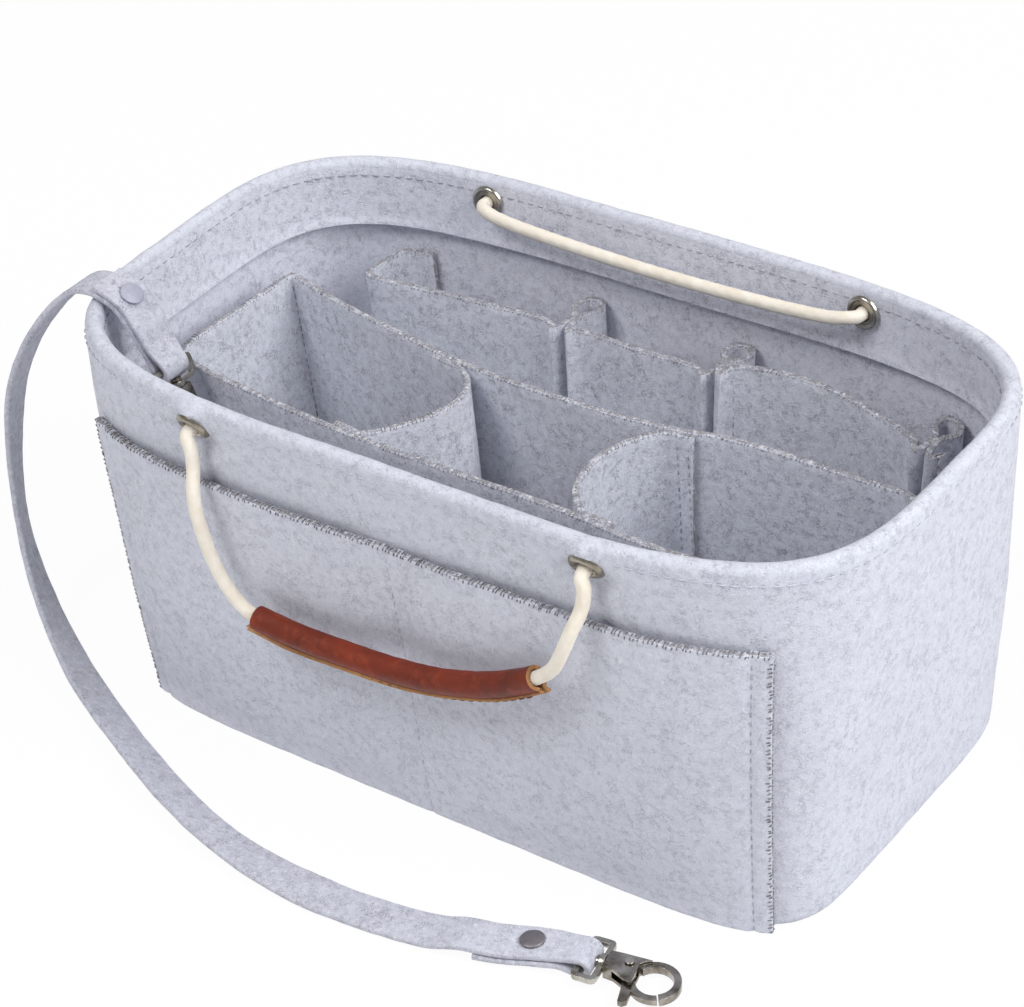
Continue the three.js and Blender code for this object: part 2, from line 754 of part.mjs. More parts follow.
function claspPin() {
  const shank = claspPinDiameter / 2;
  const head = claspPinHead / 2;
  const seat = claspPlate / 2 + claspGap;
  const end = seat + claspPinHeadPlate;
  const profile = [
    V2(0, -end), V2(head, -end), V2(head, -seat), V2(shank, -seat),
    V2(shank, seat), V2(head, seat), V2(head, end), V2(0, end),
  ];
  return new THREE.LatheGeometry(profile, eyeletSides).rotateX(Math.PI / 2).translate(pin.x, pin.y, 0);
}

// The return spring is a flat torsion coil round the pin, kept as a plain ring
function claspSpring() {
  const bore = claspPinDiameter / 2 + claspGap;
  const wire = claspSpringWire / 2;
  const profile = [V2(bore, -wire), V2(claspHubRadius, -wire), V2(claspHubRadius, wire), V2(bore, wire),
    V2(bore, -wire)];
  return new THREE.LatheGeometry(profile, eyeletSides).rotateX(Math.PI / 2)
    .translate(pin.x, pin.y, claspGatePlate / 2 + claspGap - wire);
}

function claspEye() {
  const half = strapWidth / 2 + claspGap;
  const bossFace = -claspGap;
  const boxed = (left, right, reachY, round) => {
    const shape = new THREE.Shape();
    shape.moveTo(left + round, -reachY);
    shape.lineTo(right - round, -reachY);
    shape.quadraticCurveTo(right, -reachY, right, -reachY + round);
    shape.lineTo(right, reachY - round);
    shape.quadraticCurveTo(right, reachY, right - round, reachY);
    shape.lineTo(left + round, reachY);
    shape.quadraticCurveTo(left, reachY, left, reachY - round);
    shape.lineTo(left, -reachY + round);
    shape.quadraticCurveTo(left, -reachY, left + round, -reachY);
    return shape.extractPoints(3).shape.slice(0, -1);
  };
  const wire = claspEyeWire;
  const barEnd = -claspEyeLength - wire / 2;
  const frame = plate(boxed(barEnd, bossFace, half + wire, claspEyeRound), wire);
  const window = plate(boxed(barEnd + wire, bossFace - claspBossLength, half, claspGap),
    wire + overrun);
  const boss = rod(claspBoss / 2, claspBossLength, bossFace - claspBossLength / 2);
  const bore = rod(claspPost / 2 + claspGap, claspBossLength + overrun, bossFace - claspBossLength / 2);
  return cut(join([cut(frame, [window]), boss]), [bore]);
}

// A clasp hangs from the middle of its eye's strap bar
function addClasp(prefix, bar, along, across) {
  const clasp = new THREE.Group();
  const through = along.clone().cross(across).normalize();
  const turn = new THREE.Matrix4().makeBasis(along, through.clone().cross(along), through);
  clasp.quaternion.setFromRotationMatrix(turn);
  clasp.position.copy(bar).addScaledVector(along, claspEyeLength);
  insert.add(clasp);
  addPiece(`${prefix}_clasp_eye`, claspEye(), nickel, clasp);
  addPiece(`${prefix}_clasp_hook`, claspHook(), nickel, clasp);
  addPiece(`${prefix}_clasp_gate`, claspGate(), nickel, clasp);
  addPiece(`${prefix}_clasp_pin`, claspPin(), nickel, clasp);
  addPiece(`${prefix}_clasp_spring`, claspSpring(), nickel, clasp);
}

// D ring for the inner clasp, in a felt tab sewn to the front of the inner box. Both are drawn
// round the middle of the ring's bar, with X along the panel and -Y away from it.

const ringX = ringPlaceShare * bodyAt(boxTop - ringDrop, bodyFelt).halfX;
const ringZ = boxTop - ringDrop;
const panelY = (x) => boxY(x, ringZ, false);
const panelTurn = Math.atan2(panelY(ringX + tabWidth / 2) - panelY(ringX - tabWidth / 2), tabWidth);
const ringBarReach = (liningFelt / 2 + 2 * sewnGap + tabFelt + ringWire / 2) / Math.cos(panelTurn);

const ringGroup = new THREE.Group();
ringGroup.position.set(ringX, panelY(ringX) - ringBarReach, ringZ);
ringGroup.rotation.z = panelTurn;
insert.add(ringGroup);

// Half of the ring's wire, from the middle of its bar: shares of the half width and of the reach
const ringHalfShares = [
  [0, 0], [0.8, 0], [0.97, -0.04], [1, -0.14], [0.98, -0.42], [0.8, -0.76], [0.45, -0.96], [0, -1],
];

function ringWirePoints() {
  const wirePoint = ([acrossShare, reachShare]) => V3(
    acrossShare * (ringWidth + ringWire) / 2, reachShare * (ringReach + ringWire), 0);
  const right = ringHalfShares.map(wirePoint);
  const left = right.slice(1, -1).reverse().map(({ x, y, z }) => V3(-x, y, z));
  return [...right, ...left];
}

function closedTube(points, radius, sides) {
  const up = V3(0, 0, 1);
  const count = points.length;
  return skin(points.map((point, index) => {
    const after = points[(index + 1) % count];
    const out = after.clone().sub(points[(index + count - 1) % count]).normalize().cross(up);
    const section = [];
    for (let side = 0; side < sides; side += 1) {
      const angle = (2 * Math.PI * side) / sides;
      section.push(point.clone().addScaledVector(out, radius * Math.cos(angle))
        .addScaledVector(up, radius * Math.sin(angle)));
    }
    return section;
  }), true);
}

// The tab goes round the ring's bar, and both its ends are sewn down the panel
function ringTab() {
  const bend = ringWire / 2 + sewnGap + tabFelt / 2;
  const outer = bend - tabFelt - sewnGap;
  const slant = bend * Math.SQRT1_2;
  const line = [
    V2(bend, -tabLength), V2(bend, -bend), V2(bend, 0), V2(slant, slant), V2(0, bend),
    V2(-slant, slant), V2(-bend, 0), V2(-slant, -slant), V2(outer, -2 * bend), V2(outer, -tabLength),
  ];
  return skin(line.map((point, index) => {
    const offset = sideways(line, index, false).multiplyScalar(tabFelt / 2);
    const half = tabWidth / 2;
    const corner = (x, side) => V3(x, point.x + side * offset.x, point.y + side * offset.y);
    return [corner(-half, 1), corner(half, 1), corner(half, -1), corner(-half, -1)];
  }));
}

addPiece('d_ring', closedTube(ringWirePoints(), ringWire / 2, ringSides), nickel, ringGroup);
addPiece('d_ring_tab', ringTab(), liningColour, ringGroup);

// Where the clasps are: the inner one hooks the ring, and the outer one ends the strap's route

const foldRadius = claspEyeWire / 2 + strapBendGap + strapFelt / 2;
const outerEnd = V3(83.8, -109.6, 0);
const outerBar = outerEnd.clone().setZ(foldRadius + strapFelt / 2 + sewnGap);
const outerAlong = V3(0.982, 0.18, -0.035).normalize();
const outerAcross = V3(-outerAlong.y, outerAlong.x, 0).normalize();
const innerAlong = V3(0.3, 0, -0.954).normalize();
const innerAcross = V3(0, 1, 0);
const hooked = claspBowlPlace + claspBowlRadius - ringWire / 2 - 2 * claspGap;
const ringFar = ringGroup.localToWorld(V3(0, -ringReach - ringWire, 0));
const innerBar = ringFar.addScaledVector(innerAcross, claspBowlDrop)
  .addScaledVector(innerAlong, -claspEyeLength - hooked);

addClasp('outer', outerBar, outerAlong, outerAcross);
addClasp('inner', innerBar, innerAlong, innerAcross);

// Lanyard strap: its middle line from the inner eye to the outer one, with the normal of the face
// that each end folds back on

const innerFace = V3(-innerAlong.z, 0, innerAlong.x);
const outerFace = outerAcross.clone().cross(outerAlong).normalize();
const strapRoute = [
  [innerBar.clone().addScaledVector(innerFace, -foldRadius), innerFace],
  [V3(-123.1, -44.4, 125), V3(0.93, 0, 0.36)],
  [V3(-126.6, -44.4, 131.6), V3(0.8, 0, 0.6)],
  [V3(-132, -44.4, 138.4), V3(0.5, 0, 0.87)],
  [V3(-139.6, -44.4, 141.3), V3(0.12, 0, 0.99)],
  [V3(-148.6, -44.4, 140.6), V3(-0.4, 0, 0.92)],
  [V3(-157.5, -44.2, 134.5), V3(-0.66, 0, 0.75)],
  [V3(-169.5, -44.4, 122.4), V3(-0.76, -0.06, 0.65)],
  [V3(-181.4, -45, 106.5), V3(-0.86, -0.15, 0.5)],
  [V3(-190.2, -46, 88.5), V3(-0.93, -0.24, 0.3)],
  [V3(-195.2, -47.6, 70.5), V3(-0.95, -0.3, 0.1)],
  [V3(-196.2, -50.4, 51), V3(-0.95, -0.33, -0.1)],
  [V3(-193.2, -54.6, 34), V3(-0.9, -0.35, -0.25)],
  [V3(-186, -60, 21.6), V3(-0.72, -0.3, -0.62)],
  [V3(-176.4, -66, 11.5), V3(-0.5, -0.22, -0.84)],
  [V3(-164.5, -72.8, 4.9), V3(-0.25, -0.1, -0.96)],
  [V3(-146, -81.8, 1.9), V3(-0.05, 0, -1)],
  [V3(-127.2, -91.2, 1.6), V3(0, 0, -1)],
  [V3(-104.5, -101.4, 1.6), V3(0, 0, -1)],
  [V3(-78.1, -111.9, 1.6), V3(0, 0, -1)],
  [V3(-54.6, -120.2, 1.6), V3(0, 0, -1)],
  [V3(-31, -125.4, 1.6), V3(0, 0, -1)],
  [V3(-5, -126.8, 1.6), V3(0, 0, -1)],
  [V3(20, -124.8, 1.6), V3(0, 0, -1)],
  [V3(36, -122.4, 2.3), V3(0, 0, -1)],
  [V3(46, -120.4, 4.6), V3(0, 0, -1)],
  [V3(58, -117.4, 5), V3(0, 0, -1)],
  [V3(68, -113.2, 5.2), V3(0, 0, -1)],
  [V3(75.4, -111.3, 6), V3(0, 0, -1)],
  [outerBar.clone().addScaledVector(outerFace, -foldRadius), outerFace],
];

const strapCurve = new THREE.CatmullRomCurve3(strapRoute.map(([place]) => place), false, 'centripetal');
const faceCurve = new THREE.CatmullRomCurve3(strapRoute.map(([, face]) => face), false, 'centripetal');
const strapLength = strapCurve.getLength();

// One station of the strap: its place, direction and face at a distance along the middle line
function strapStation(distance) {
  const share = THREE.MathUtils.clamp(distance / strapLength, 0, 1);
  const along = strapCurve.getTangentAt(share);
  const face = faceCurve.getPoint(strapCurve.getUtoTmapping(share));
  face.addScaledVector(along, -face.dot(along)).normalize();
  return { place: strapCurve.getPointAt(share), along, face };
}

function strapSection({ place, along, face }) {
  const across = along.clone().cross(face).multiplyScalar(strapWidth / 2);
  const depth = face.clone().multiplyScalar(strapFelt / 2);
  return [
    place.clone().sub(across).sub(depth), place.clone().add(across).sub(depth),
    place.clone().add(across).add(depth), place.clone().sub(across).add(depth),
  ];
}

// The fold at one end: round the bar, then back along the strap's own face
function foldedEnd(distanceAt, beyond) {
  const stations = [];
  const end = strapStation(distanceAt(0));
  for (let step = 1; step < foldSteps; step += 1) {
    const turn = (Math.PI * step) / foldSteps;
    const place = end.place.clone().addScaledVector(end.face, foldRadius * (1 - Math.cos(turn)))
      .addScaledVector(end.along, beyond * foldRadius * Math.sin(turn));
    const along = end.along.clone().multiplyScalar(Math.cos(turn))
      .addScaledVector(end.face, beyond * Math.sin(turn));
    const face = end.face.clone().multiplyScalar(Math.cos(turn))
      .addScaledVector(end.along, -beyond * Math.sin(turn));
    stations.push({ place, along, face });
  }
  const seat = strapFelt + layerGap;
  for (let step = 0; step <= foldBackSteps; step += 1) {
    const back = foldBackLength * step / foldBackSteps;
    const { place, along, face } = strapStation(distanceAt(back));
    const lift = mix(2 * foldRadius, seat, Math.min(back / foldTaper, 1));
    stations.push({
      place: place.addScaledVector(face, lift), along: along.negate(), face: face.clone().negate(),
    });
  }
  return stations;
}

const mainStations = [];
for (let step = 0; step <= strapSteps; step += 1) {
  mainStations.push(strapStation(strapLength * step / strapSteps));
}
const strapStations = [
  ...foldedEnd((back) => back, -1).reverse(), ...mainStations,
  ...foldedEnd((back) => strapLength - back, 1),
];

// Rivets hold each fold closed: a domed cap on the outside and a plate on the other

function rivetFrame(distance, capOnFace) {
  const { place, face } = strapStation(distance);
  const layers = 2 * strapFelt + layerGap;
  const axis = capOnFace ? face.clone() : face.clone().negate();
  const centre = place.addScaledVector(face, (strapFelt + layerGap) / 2);
  return { centre, axis, layers };
}

function rivetCapShape({ layers }) {
  const face = layers / 2 + sewnGap;
  const socket = rivetShank / 2 + sewnGap;
  const rim = rivetCap / 2;
  const profile = [
    V2(socket, 0), V2(socket + rivetSocketWall, 0), V2(socket + rivetSocketWall, face), V2(rim, face),
    V2(rim, face + rivetDome / 3), V2(rim * 0.75, face + rivetDome * 0.8), V2(rim * 0.4, face + rivetDome),
    V2(0, face + rivetDome), V2(0, face + rivetDome / 3), V2(socket, face + rivetDome / 3), V2(socket, 0),
  ];
  return new THREE.LatheGeometry(profile, rivetSides);
}

const postFace = ({ layers }) => -layers / 2 - sewnGap;

function rivetPostShape(frame) {
  const face = postFace(frame);
  const profile = [
    V2(0, face - rivetPlate), V2(rivetBack / 2, face - rivetPlate), V2(rivetBack / 2, face),
    V2(rivetShank / 2, face), V2(rivetShank / 2, frame.layers / 2), V2(0, frame.layers / 2),
  ];
  return new THREE.LatheGeometry(profile, rivetSides);
}

const rivets = {
  inner: rivetFrame(innerRivetPlace, true),
  outer: rivetFrame(strapLength - outerRivetPlace, false),
};

// A hole for the rivet and the dent that its back plate presses into the felt
function rivetCuts(frame) {
  const hole = rivetShank / 2 + rivetSocketWall + 2 * sewnGap;
  const dent = rivetBack / 2 + sewnGap;
  const dentDepth = rivetPlate + 2 * sewnGap;
  const round = (radius, length) => new THREE.CylinderGeometry(radius, radius, length, rivetSides);
  return [
    alongAxis(round(hole, frame.layers + overrun), frame),
    alongAxis(round(dent, dentDepth).translate(0, postFace(frame) - rivetPlate / 2, 0), frame),
  ];
}

addPiece('lanyard_strap',
  cut(skin(strapStations.map(strapSection)), Object.values(rivets).flatMap(rivetCuts)), paleFelt);

for (const [end, frame] of Object.entries(rivets)) {
  addPiece(`${end}_rivet_cap`, alongAxis(rivetCapShape(frame), frame), nickel);
  addPiece(`${end}_rivet_post`, alongAxis(rivetPostShape(frame), frame), nickel);
}

export default insert;
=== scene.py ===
# %% [markdown]
# # A felt organizer insert with rope handles and a lanyard
# The insert is a tub of pale grey felt that stands inside a handbag. It is modelled over a fixed
# frame: every new piece stands for one or more solids of that frame and stays where they are.
# Lengths are written in millimetres, as a maker measures felt, and are turned to metres when a mesh
# gets its points.

# %% Load the frame
import json
import math
import bpy
import numpy as np
from mathutils import Matrix, Vector, noise


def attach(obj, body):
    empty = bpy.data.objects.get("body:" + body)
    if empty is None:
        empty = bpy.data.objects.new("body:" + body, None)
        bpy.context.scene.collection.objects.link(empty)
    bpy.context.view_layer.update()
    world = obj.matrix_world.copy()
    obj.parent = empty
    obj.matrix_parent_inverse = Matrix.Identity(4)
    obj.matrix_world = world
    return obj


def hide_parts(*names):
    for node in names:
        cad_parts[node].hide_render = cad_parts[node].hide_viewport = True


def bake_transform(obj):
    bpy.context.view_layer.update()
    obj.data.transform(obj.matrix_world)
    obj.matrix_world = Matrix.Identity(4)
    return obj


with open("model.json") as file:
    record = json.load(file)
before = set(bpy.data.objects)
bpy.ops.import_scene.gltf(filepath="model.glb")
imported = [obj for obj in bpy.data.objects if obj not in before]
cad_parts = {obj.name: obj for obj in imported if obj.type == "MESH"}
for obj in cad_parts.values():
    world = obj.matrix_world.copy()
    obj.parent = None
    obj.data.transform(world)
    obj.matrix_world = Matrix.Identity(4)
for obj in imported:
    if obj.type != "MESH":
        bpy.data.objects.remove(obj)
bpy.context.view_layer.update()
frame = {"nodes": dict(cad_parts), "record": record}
MM = 0.001
# Both sources of chance are seeded, so every run gives the same felt.
chance = np.random.default_rng(11)
noise.seed_set(11)
body_of = {}
for body, members in frame["record"]["behaviour"]["bodies"].items():
    for member in members:
        body_of[member] = body

# %% [markdown]
# ## The camera
# The picture looks down on the insert from its front right corner. A long lens keeps the walls
# nearly parallel, and the camera leans a little to one side, so the picture's frame is built from
# the camera's three directions instead of one rotation.

# %% Camera
AZIMUTH, ELEVATION, LEAN = (math.radians(turn) for turn in (38.46, 34.82, -5.1))
EYE = Vector((543.3, -703.6, 695.8)) * MM
LENS, SENSOR, FARTHEST = 117.28, 36, 20
backwards = Vector((math.sin(AZIMUTH) * math.cos(ELEVATION),
                    -math.cos(AZIMUTH) * math.cos(ELEVATION), math.sin(ELEVATION)))
level = Vector((math.cos(AZIMUTH), math.sin(AZIMUTH), 0))
upright = backwards.cross(level)
picture_right = math.cos(LEAN) * level + math.sin(LEAN) * upright
picture_up = math.cos(LEAN) * upright - math.sin(LEAN) * level

bpy.ops.object.select_all(action="DESELECT")
bpy.ops.object.camera_add()
camera = bpy.context.object
camera.data.sensor_width = SENSOR
camera.data.lens = LENS
camera.data.clip_end = FARTHEST
turn = Matrix((picture_right, picture_up, backwards)).transposed().to_4x4()
camera.matrix_world = Matrix.Translation(EYE) @ turn
bpy.context.scene.camera = camera
print("camera", round(EYE.length, 3), "m from the middle of the base")

# %% [markdown]
# ## Smooth lines through chosen points
# Ropes, straps and the plan of each felt wall are all drawn by a few given points. A
# Catmull-Rom line passes through every point without corners. Its spacing follows the square root
# of each span, which keeps short spans from looping.

# %% Smooth lines
def smooth_line(points, per_span, joined=False):
    """Points on a smooth line through the given ones."""
    points = np.asarray(points, float)
    if joined:
        padded = np.vstack([points[-1], points, points[:2]])
    else:
        padded = np.vstack([2 * points[0] - points[1], points, 2 * points[-1] - points[-2]])
    spans = len(padded) - 3
    share = np.linspace(0, 1, per_span, endpoint=False)[:, None]
    line = []
    for span in range(spans):
        before, start, end, after = padded[span:span + 4]
        steps = [max(np.linalg.norm(b - a), 1e-6) ** 0.5
                 for a, b in ((before, start), (start, end), (end, after))]
        leave = ((start - before) / steps[0] - (end - before) / (steps[0] + steps[1])
                 + (end - start) / steps[1]) * steps[1]
        arrive = ((end - start) / steps[1] - (after - start) / (steps[1] + steps[2])
                  + (after - end) / steps[2]) * steps[1]
        line.append(start + leave * share + (3 * (end - start) - 2 * leave - arrive) * share ** 2
                    + (2 * (start - end) + leave + arrive) * share ** 3)
    if not joined:
        line.append(points[-1:])
    return np.vstack(line)


def distances_along(line):
    """How far each point of a line is from its start, along the line."""
    return np.concatenate([[0], np.cumsum(np.linalg.norm(np.diff(line, axis=0), axis=1))])


def at_distances(line, travelled, wanted):
    """Places between a line's points, at the wanted distances from its start."""
    return np.stack([np.interp(wanted, travelled, line[:, axis])
                     for axis in range(line.shape[1])], axis=-1)


def along_line(line, shares, joined=False):
    """Places at the given shares of a line's length."""
    if joined:
        line = np.vstack([line, line[:1]])
    travelled = distances_along(line)
    return at_distances(line, travelled, np.clip(shares, 0, 1) * travelled[-1])


def line_length(line):
    return float(np.linalg.norm(np.diff(line, axis=0), axis=1).sum())


upwards = np.array((0.0, 0.0, 1.0))


def unit(vectors):
    return vectors / np.maximum(np.linalg.norm(vectors, axis=-1, keepdims=True), 1e-9)


print("a quarter circle by three points:",
      round(line_length(smooth_line([(1, 0), (0.707, 0.707), (0, 1)], 16)), 3))

# %% [markdown]
# ## The form of the tub
# Seen from above, the rim and the base are rounded rectangles. A superellipse draws both with three
# numbers: half length, half depth and a power that says how square the corners are. Between base
# and rim all three change evenly, and this makes the walls lean out and their corners open.

# %% Body form
HEIGHT = 139.0
RIM = np.array((150.0, 83.0, 3.9))
BASE = np.array((134.75, 72.25, 7.3))
WALL_FELT = 2.6
LINING_FELT = 2.0
INNER_FACE = 3.0
FLOOR = 3.3
OUTLINE_STEPS = 1440


def body_at(z, inset=0.0):
    half_x, half_y, power = BASE + (RIM - BASE) * z / HEIGHT
    return half_x - inset, half_y - inset, power


def outline(z, inset, shares):
    """Places at even shares round the wall, from the right end towards the back."""
    half_x, half_y, power = body_at(z, inset)
    angle = np.linspace(0, 2 * np.pi, OUTLINE_STEPS + 1)
    bend = [np.sign(wave) * np.abs(wave) ** (2 / power) for wave in (np.cos(angle), np.sin(angle))]
    return along_line(np.stack([half_x * bend[0], half_y * bend[1]], axis=1), shares)


def wall_y(x, z, inset=0.0):
    half_x, half_y, power = body_at(z, inset)
    return half_y * np.maximum(1 - np.abs(x / half_x) ** power, 0) ** (1 / power)


def wall_normal(x, z):
    half_x, half_y, power = body_at(z)
    along = np.sign(x) * (np.abs(x) / half_x) ** (power - 1) / half_x
    across = (wall_y(x, z) / half_y) ** (power - 1) / half_y
    return unit(np.stack([along, across], axis=-1))


def in_plan(shares, z):
    half_x, half_y, _ = body_at(z, INNER_FACE)
    return np.asarray(shares, float) * (half_x, half_y)


print("rim", 2 * RIM[:2], "mm, base", 2 * BASE[:2], "mm")

# %% [markdown]
# ## Bending a flat grid
# Felt, leather and rope start here as what they are: something flat or straight that is bent into
# place. A grid primitive is added, and each of its points is moved to the place that a formula
# gives for its two shares, one across and one up. Where the sheet closes on itself, the two edges
# are merged. The grid's own UV map then still lies flat on the sheet, measured in metres, so a
# pattern can follow the cloth.

# %% Mesh helpers
def select_only(piece):
    bpy.ops.object.select_all(action="DESELECT")
    bpy.context.view_layer.objects.active = piece
    piece.select_set(True)


def in_edit_mode(piece, *steps):
    """Selects the whole piece in edit mode and does each step there."""
    select_only(piece)
    bpy.ops.object.mode_set(mode="EDIT")
    bpy.ops.mesh.select_all(action="SELECT")
    for step in steps:
        step()
    bpy.ops.object.mode_set(mode="OBJECT")


def finish_modifiers(piece):
    bpy.context.view_layer.objects.active = piece
    for modifier in list(piece.modifiers):
        bpy.ops.object.modifier_apply(modifier=modifier.name)


def read_rows(items, name, width=3):
    """One row of numbers for each vertex, face or corner of a mesh."""
    rows = np.empty(len(items) * width)
    items.foreach_get(name, rows)
    return rows.reshape(-1, width)


def vertices_of(piece):
    return read_rows(piece.data.vertices, "co")


def move_vertices(piece, places):
    piece.data.vertices.foreach_set("co", np.ascontiguousarray(places, float).ravel())
    piece.data.update()


def object_of(name, mesh):
    piece = bpy.data.objects.new(name, mesh)
    bpy.context.scene.collection.objects.link(piece)
    return piece


def face_outwards():
    bpy.ops.mesh.normals_make_consistent(inside=False)


# %% Bent grids
def bent_grid(name, columns, rows, place, size, joined=False, capped=False):
    """A grid bent by a formula. Its size is the flat sheet's, in millimetres."""
    bpy.ops.object.select_all(action="DESELECT")
    bpy.ops.mesh.primitive_grid_add(x_subdivisions=columns, y_subdivisions=rows, size=2)
    piece = bpy.context.object
    piece.name = piece.data.name = name
    shares = np.round((vertices_of(piece)[:, :2] + 1) / 2, 6)
    across = np.where(shares[:, 0] > 1 - 1e-5, 0, shares[:, 0]) if joined else shares[:, 0]
    move_vertices(piece, place(across, shares[:, 1]) * MM)
    corners = piece.data.uv_layers.active.data
    corners.foreach_set("uv", (read_rows(corners, "uv", 2) * np.array(size) * MM).ravel())
    steps = []
    if joined:
        steps.append(lambda: bpy.ops.mesh.remove_doubles(threshold=1e-6))
    if capped:
        steps.append(lambda: bpy.ops.mesh.fill_holes(sides=0))
    if steps:
        in_edit_mode(piece, *steps, face_outwards)
    return piece


def by_rows(place_row):
    """Turns a formula for one row of the grid into one for the whole grid."""
    def place(across, up):
        places = np.empty((len(across), 3))
        for height in np.unique(up):
            row = up == height
            places[row] = place_row(across[row], height)
        return places
    return place


# %% Sheets and their edges
def smooth_faces(piece, angle=50):
    select_only(piece)
    bpy.ops.object.shade_smooth_by_angle(angle=math.radians(angle))


def round_edges(piece, width, segments=2, angle=55):
    """Rounds the edges that are sharper than an angle, and applies all modifiers."""
    soft = piece.modifiers.new("rounded edge", "BEVEL")
    soft.width = width * MM
    soft.segments = segments
    soft.limit_method = "ANGLE"
    soft.angle_limit = math.radians(angle)
    finish_modifiers(piece)


def thicken(piece, thickness, edge=0.5, finishes=(), inner_slot=0, even=True):
    """Gives a sheet its thickness, with the cut edges rounded over and in their own finish."""
    for finish in finishes:
        piece.data.materials.append(finish)
    solid = piece.modifiers.new("thickness", "SOLIDIFY")
    solid.thickness = thickness * MM
    solid.offset = 0
    solid.use_even_offset = even
    solid.material_offset_rim = 1 if finishes else 0
    solid.material_offset = inner_slot
    round_edges(piece, edge)


def ruffle(piece, amount, size, seed=0):
    """Lifts and sinks the surface by a smooth random relief."""
    places = vertices_of(piece)
    normals = read_rows(piece.data.vertices, "normal")
    offset = Vector((seed * 7.3, seed * 3.1, seed * 5.7))
    relief = np.array([noise.noise(Vector(point) / (size * MM) + offset) for point in places])
    move_vertices(piece, places + normals * relief[:, None] * amount * MM)


LOWEST = 0.02


def stand_on_table(piece):
    """Lifts what would reach through the table."""
    places = vertices_of(piece)
    places[:, 2] = np.maximum(places[:, 2], LOWEST * MM)
    move_vertices(piece, places)


def stands_for(piece, finish, *nodes, body=None):
    """Gives a piece its finish, its body and the solids that it replaces."""
    slots = np.empty(len(piece.data.polygons), int)
    piece.data.polygons.foreach_get("material_index", slots)
    finishes = finish if isinstance(finish, tuple) else (finish,)
    piece.data.materials.clear()
    for one in finishes:
        piece.data.materials.append(one)
    piece.data.polygons.foreach_set("material_index", np.minimum(slots, len(finishes) - 1))
    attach(piece, body or body_of[nodes[0]])
    if nodes:
        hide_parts(*nodes)
    print(piece.name, len(piece.data.polygons), "faces")

# %% [markdown]
# ## Finishes
# Each finish is made of nodes, so it has detail at any distance. The helpers below keep the cells
# short: one adds a node, sets its values and joins its inputs, and the last joins a finish's
# colour and relief to its shader. Colours are written as on a screen, from 0 to 255.

# %% Node helpers
def set_inputs(finish, node, inputs):
    """Gives each input its value, or joins it to another node's output."""
    for socket, value in inputs.items():
        if isinstance(value, bpy.types.NodeSocket):
            finish.node_tree.links.new(value, node.inputs[socket])
        else:
            node.inputs[socket].default_value = value


def add_node(finish, kind, inputs=None, **settings):
    node = finish.node_tree.nodes.new("ShaderNode" + kind)
    for setting, value in settings.items():
        setattr(node, setting, value)
    set_inputs(finish, node, inputs or {})
    return node


def new_finish(name, slot_colour):
    finish = bpy.data.materials.new(name)
    finish.use_nodes = True
    finish.diffuse_color = (*slot_colour, 1)
    finish.node_tree.nodes.clear()
    shader = add_node(finish, "BsdfPrincipled")
    add_node(finish, "OutputMaterial", {"Surface": shader.outputs[0]})
    return finish, shader


def coordinates(finish, kind="Object"):
    return add_node(finish, "TexCoord").outputs[kind]


def blend_colours(finish, share, first, second):
    first, second = ((*colour, 1) if isinstance(colour, tuple) else colour
                     for colour in (first, second))
    return add_node(finish, "Mix", {0: share, 6: first, 7: second}, data_type="RGBA").outputs[2]


def ramp(finish, value, low, high):
    """A share that rises from 0 at low to 1 at high, or falls where high is the smaller."""
    return add_node(finish, "MapRange",
                    {"Value": value, "From Min": low, "From Max": high}).outputs[0]


def spread_over(finish, share, low, high):
    """A value that goes from low to high as a share goes from 0 to 1."""
    return add_node(finish, "MapRange", {"Value": share, "To Min": low, "To Max": high}).outputs[0]


def maths(finish, kind, first, second=0.0):
    return add_node(finish, "Math", {0: first, 1: second}, operation=kind).outputs[0]


def times(finish, first, second):
    return maths(finish, "MULTIPLY", first, second)


def plus(finish, first, second):
    return maths(finish, "ADD", first, second)


def grain(finish, place, scale, detail=2.0, roughness=0.5, distortion=0.0):
    return add_node(finish, "TexNoise", {
        "Vector": place, "Scale": scale, "Detail": detail, "Roughness": roughness,
        "Distortion": distortion}).outputs["Fac"]


def shifted(finish, place, offset):
    return add_node(finish, "VectorMath", {0: place, 1: offset}, operation="ADD").outputs[0]


def dress(finish, shader, tone, relief, inputs):
    """Joins the colour and the relief to the shader, and sets the shader's other inputs."""
    heights, strength, distance = relief
    bump = add_node(finish, "Bump", {"Height": heights, "Strength": strength, "Distance": distance})
    set_inputs(finish, shader, {"Base Color": tone, "Normal": bump.outputs[0], **inputs})
    return finish


def from_screen(*colours):
    """The shader's own numbers for colours written as on a screen."""
    return [tuple((part / 255 / 12.92) if part <= 10 else ((part / 255 + 0.055) / 1.055) ** 2.4
                  for part in colour) for colour in colours]


print("mid grey is", np.round(from_screen((128, 128, 128)), 3))

# %% [markdown]
# ## Felt
# Pressed wool felt is a mat of fine fibres. This one mixes pale lavender grey with a few darker
# and a few paler fibres, which show as short curly lines. A noise texture gives such lines where it
# crosses one value, and a second noise breaks them into short lengths. Slow clouds vary the tone.
# The same fibres drive the bump, and a constant sheen gives the dusty look of wool. The lining
# panels and the strap are cut from other lots, so each has its own shade. The wall's inside is
# painted a shade lighter than its outside, for the light that falls into the tub from above.

# %% Felt finish
DARK_SCALE, FINER_SCALE, PALE_SCALE = 660, 1050, 760
FLECK_SCALE = 1500
CLOUD_SCALE, CLUSTER_SCALE = 24, 60


def fibre_lines(finish, place, scale, width, spread):
    lines = grain(finish, place, scale, 1.5, 0.55, 1.1)
    off = maths(finish, "ABSOLUTE", maths(finish, "SUBTRACT", lines, 0.5))
    lengths = grain(finish, shifted(finish, place, (0.31, 0.17, 0.05)), scale * 0.45, 2.0)
    return times(finish, ramp(finish, off, width, 0.0),
                 ramp(finish, lengths, spread, spread + 0.12))


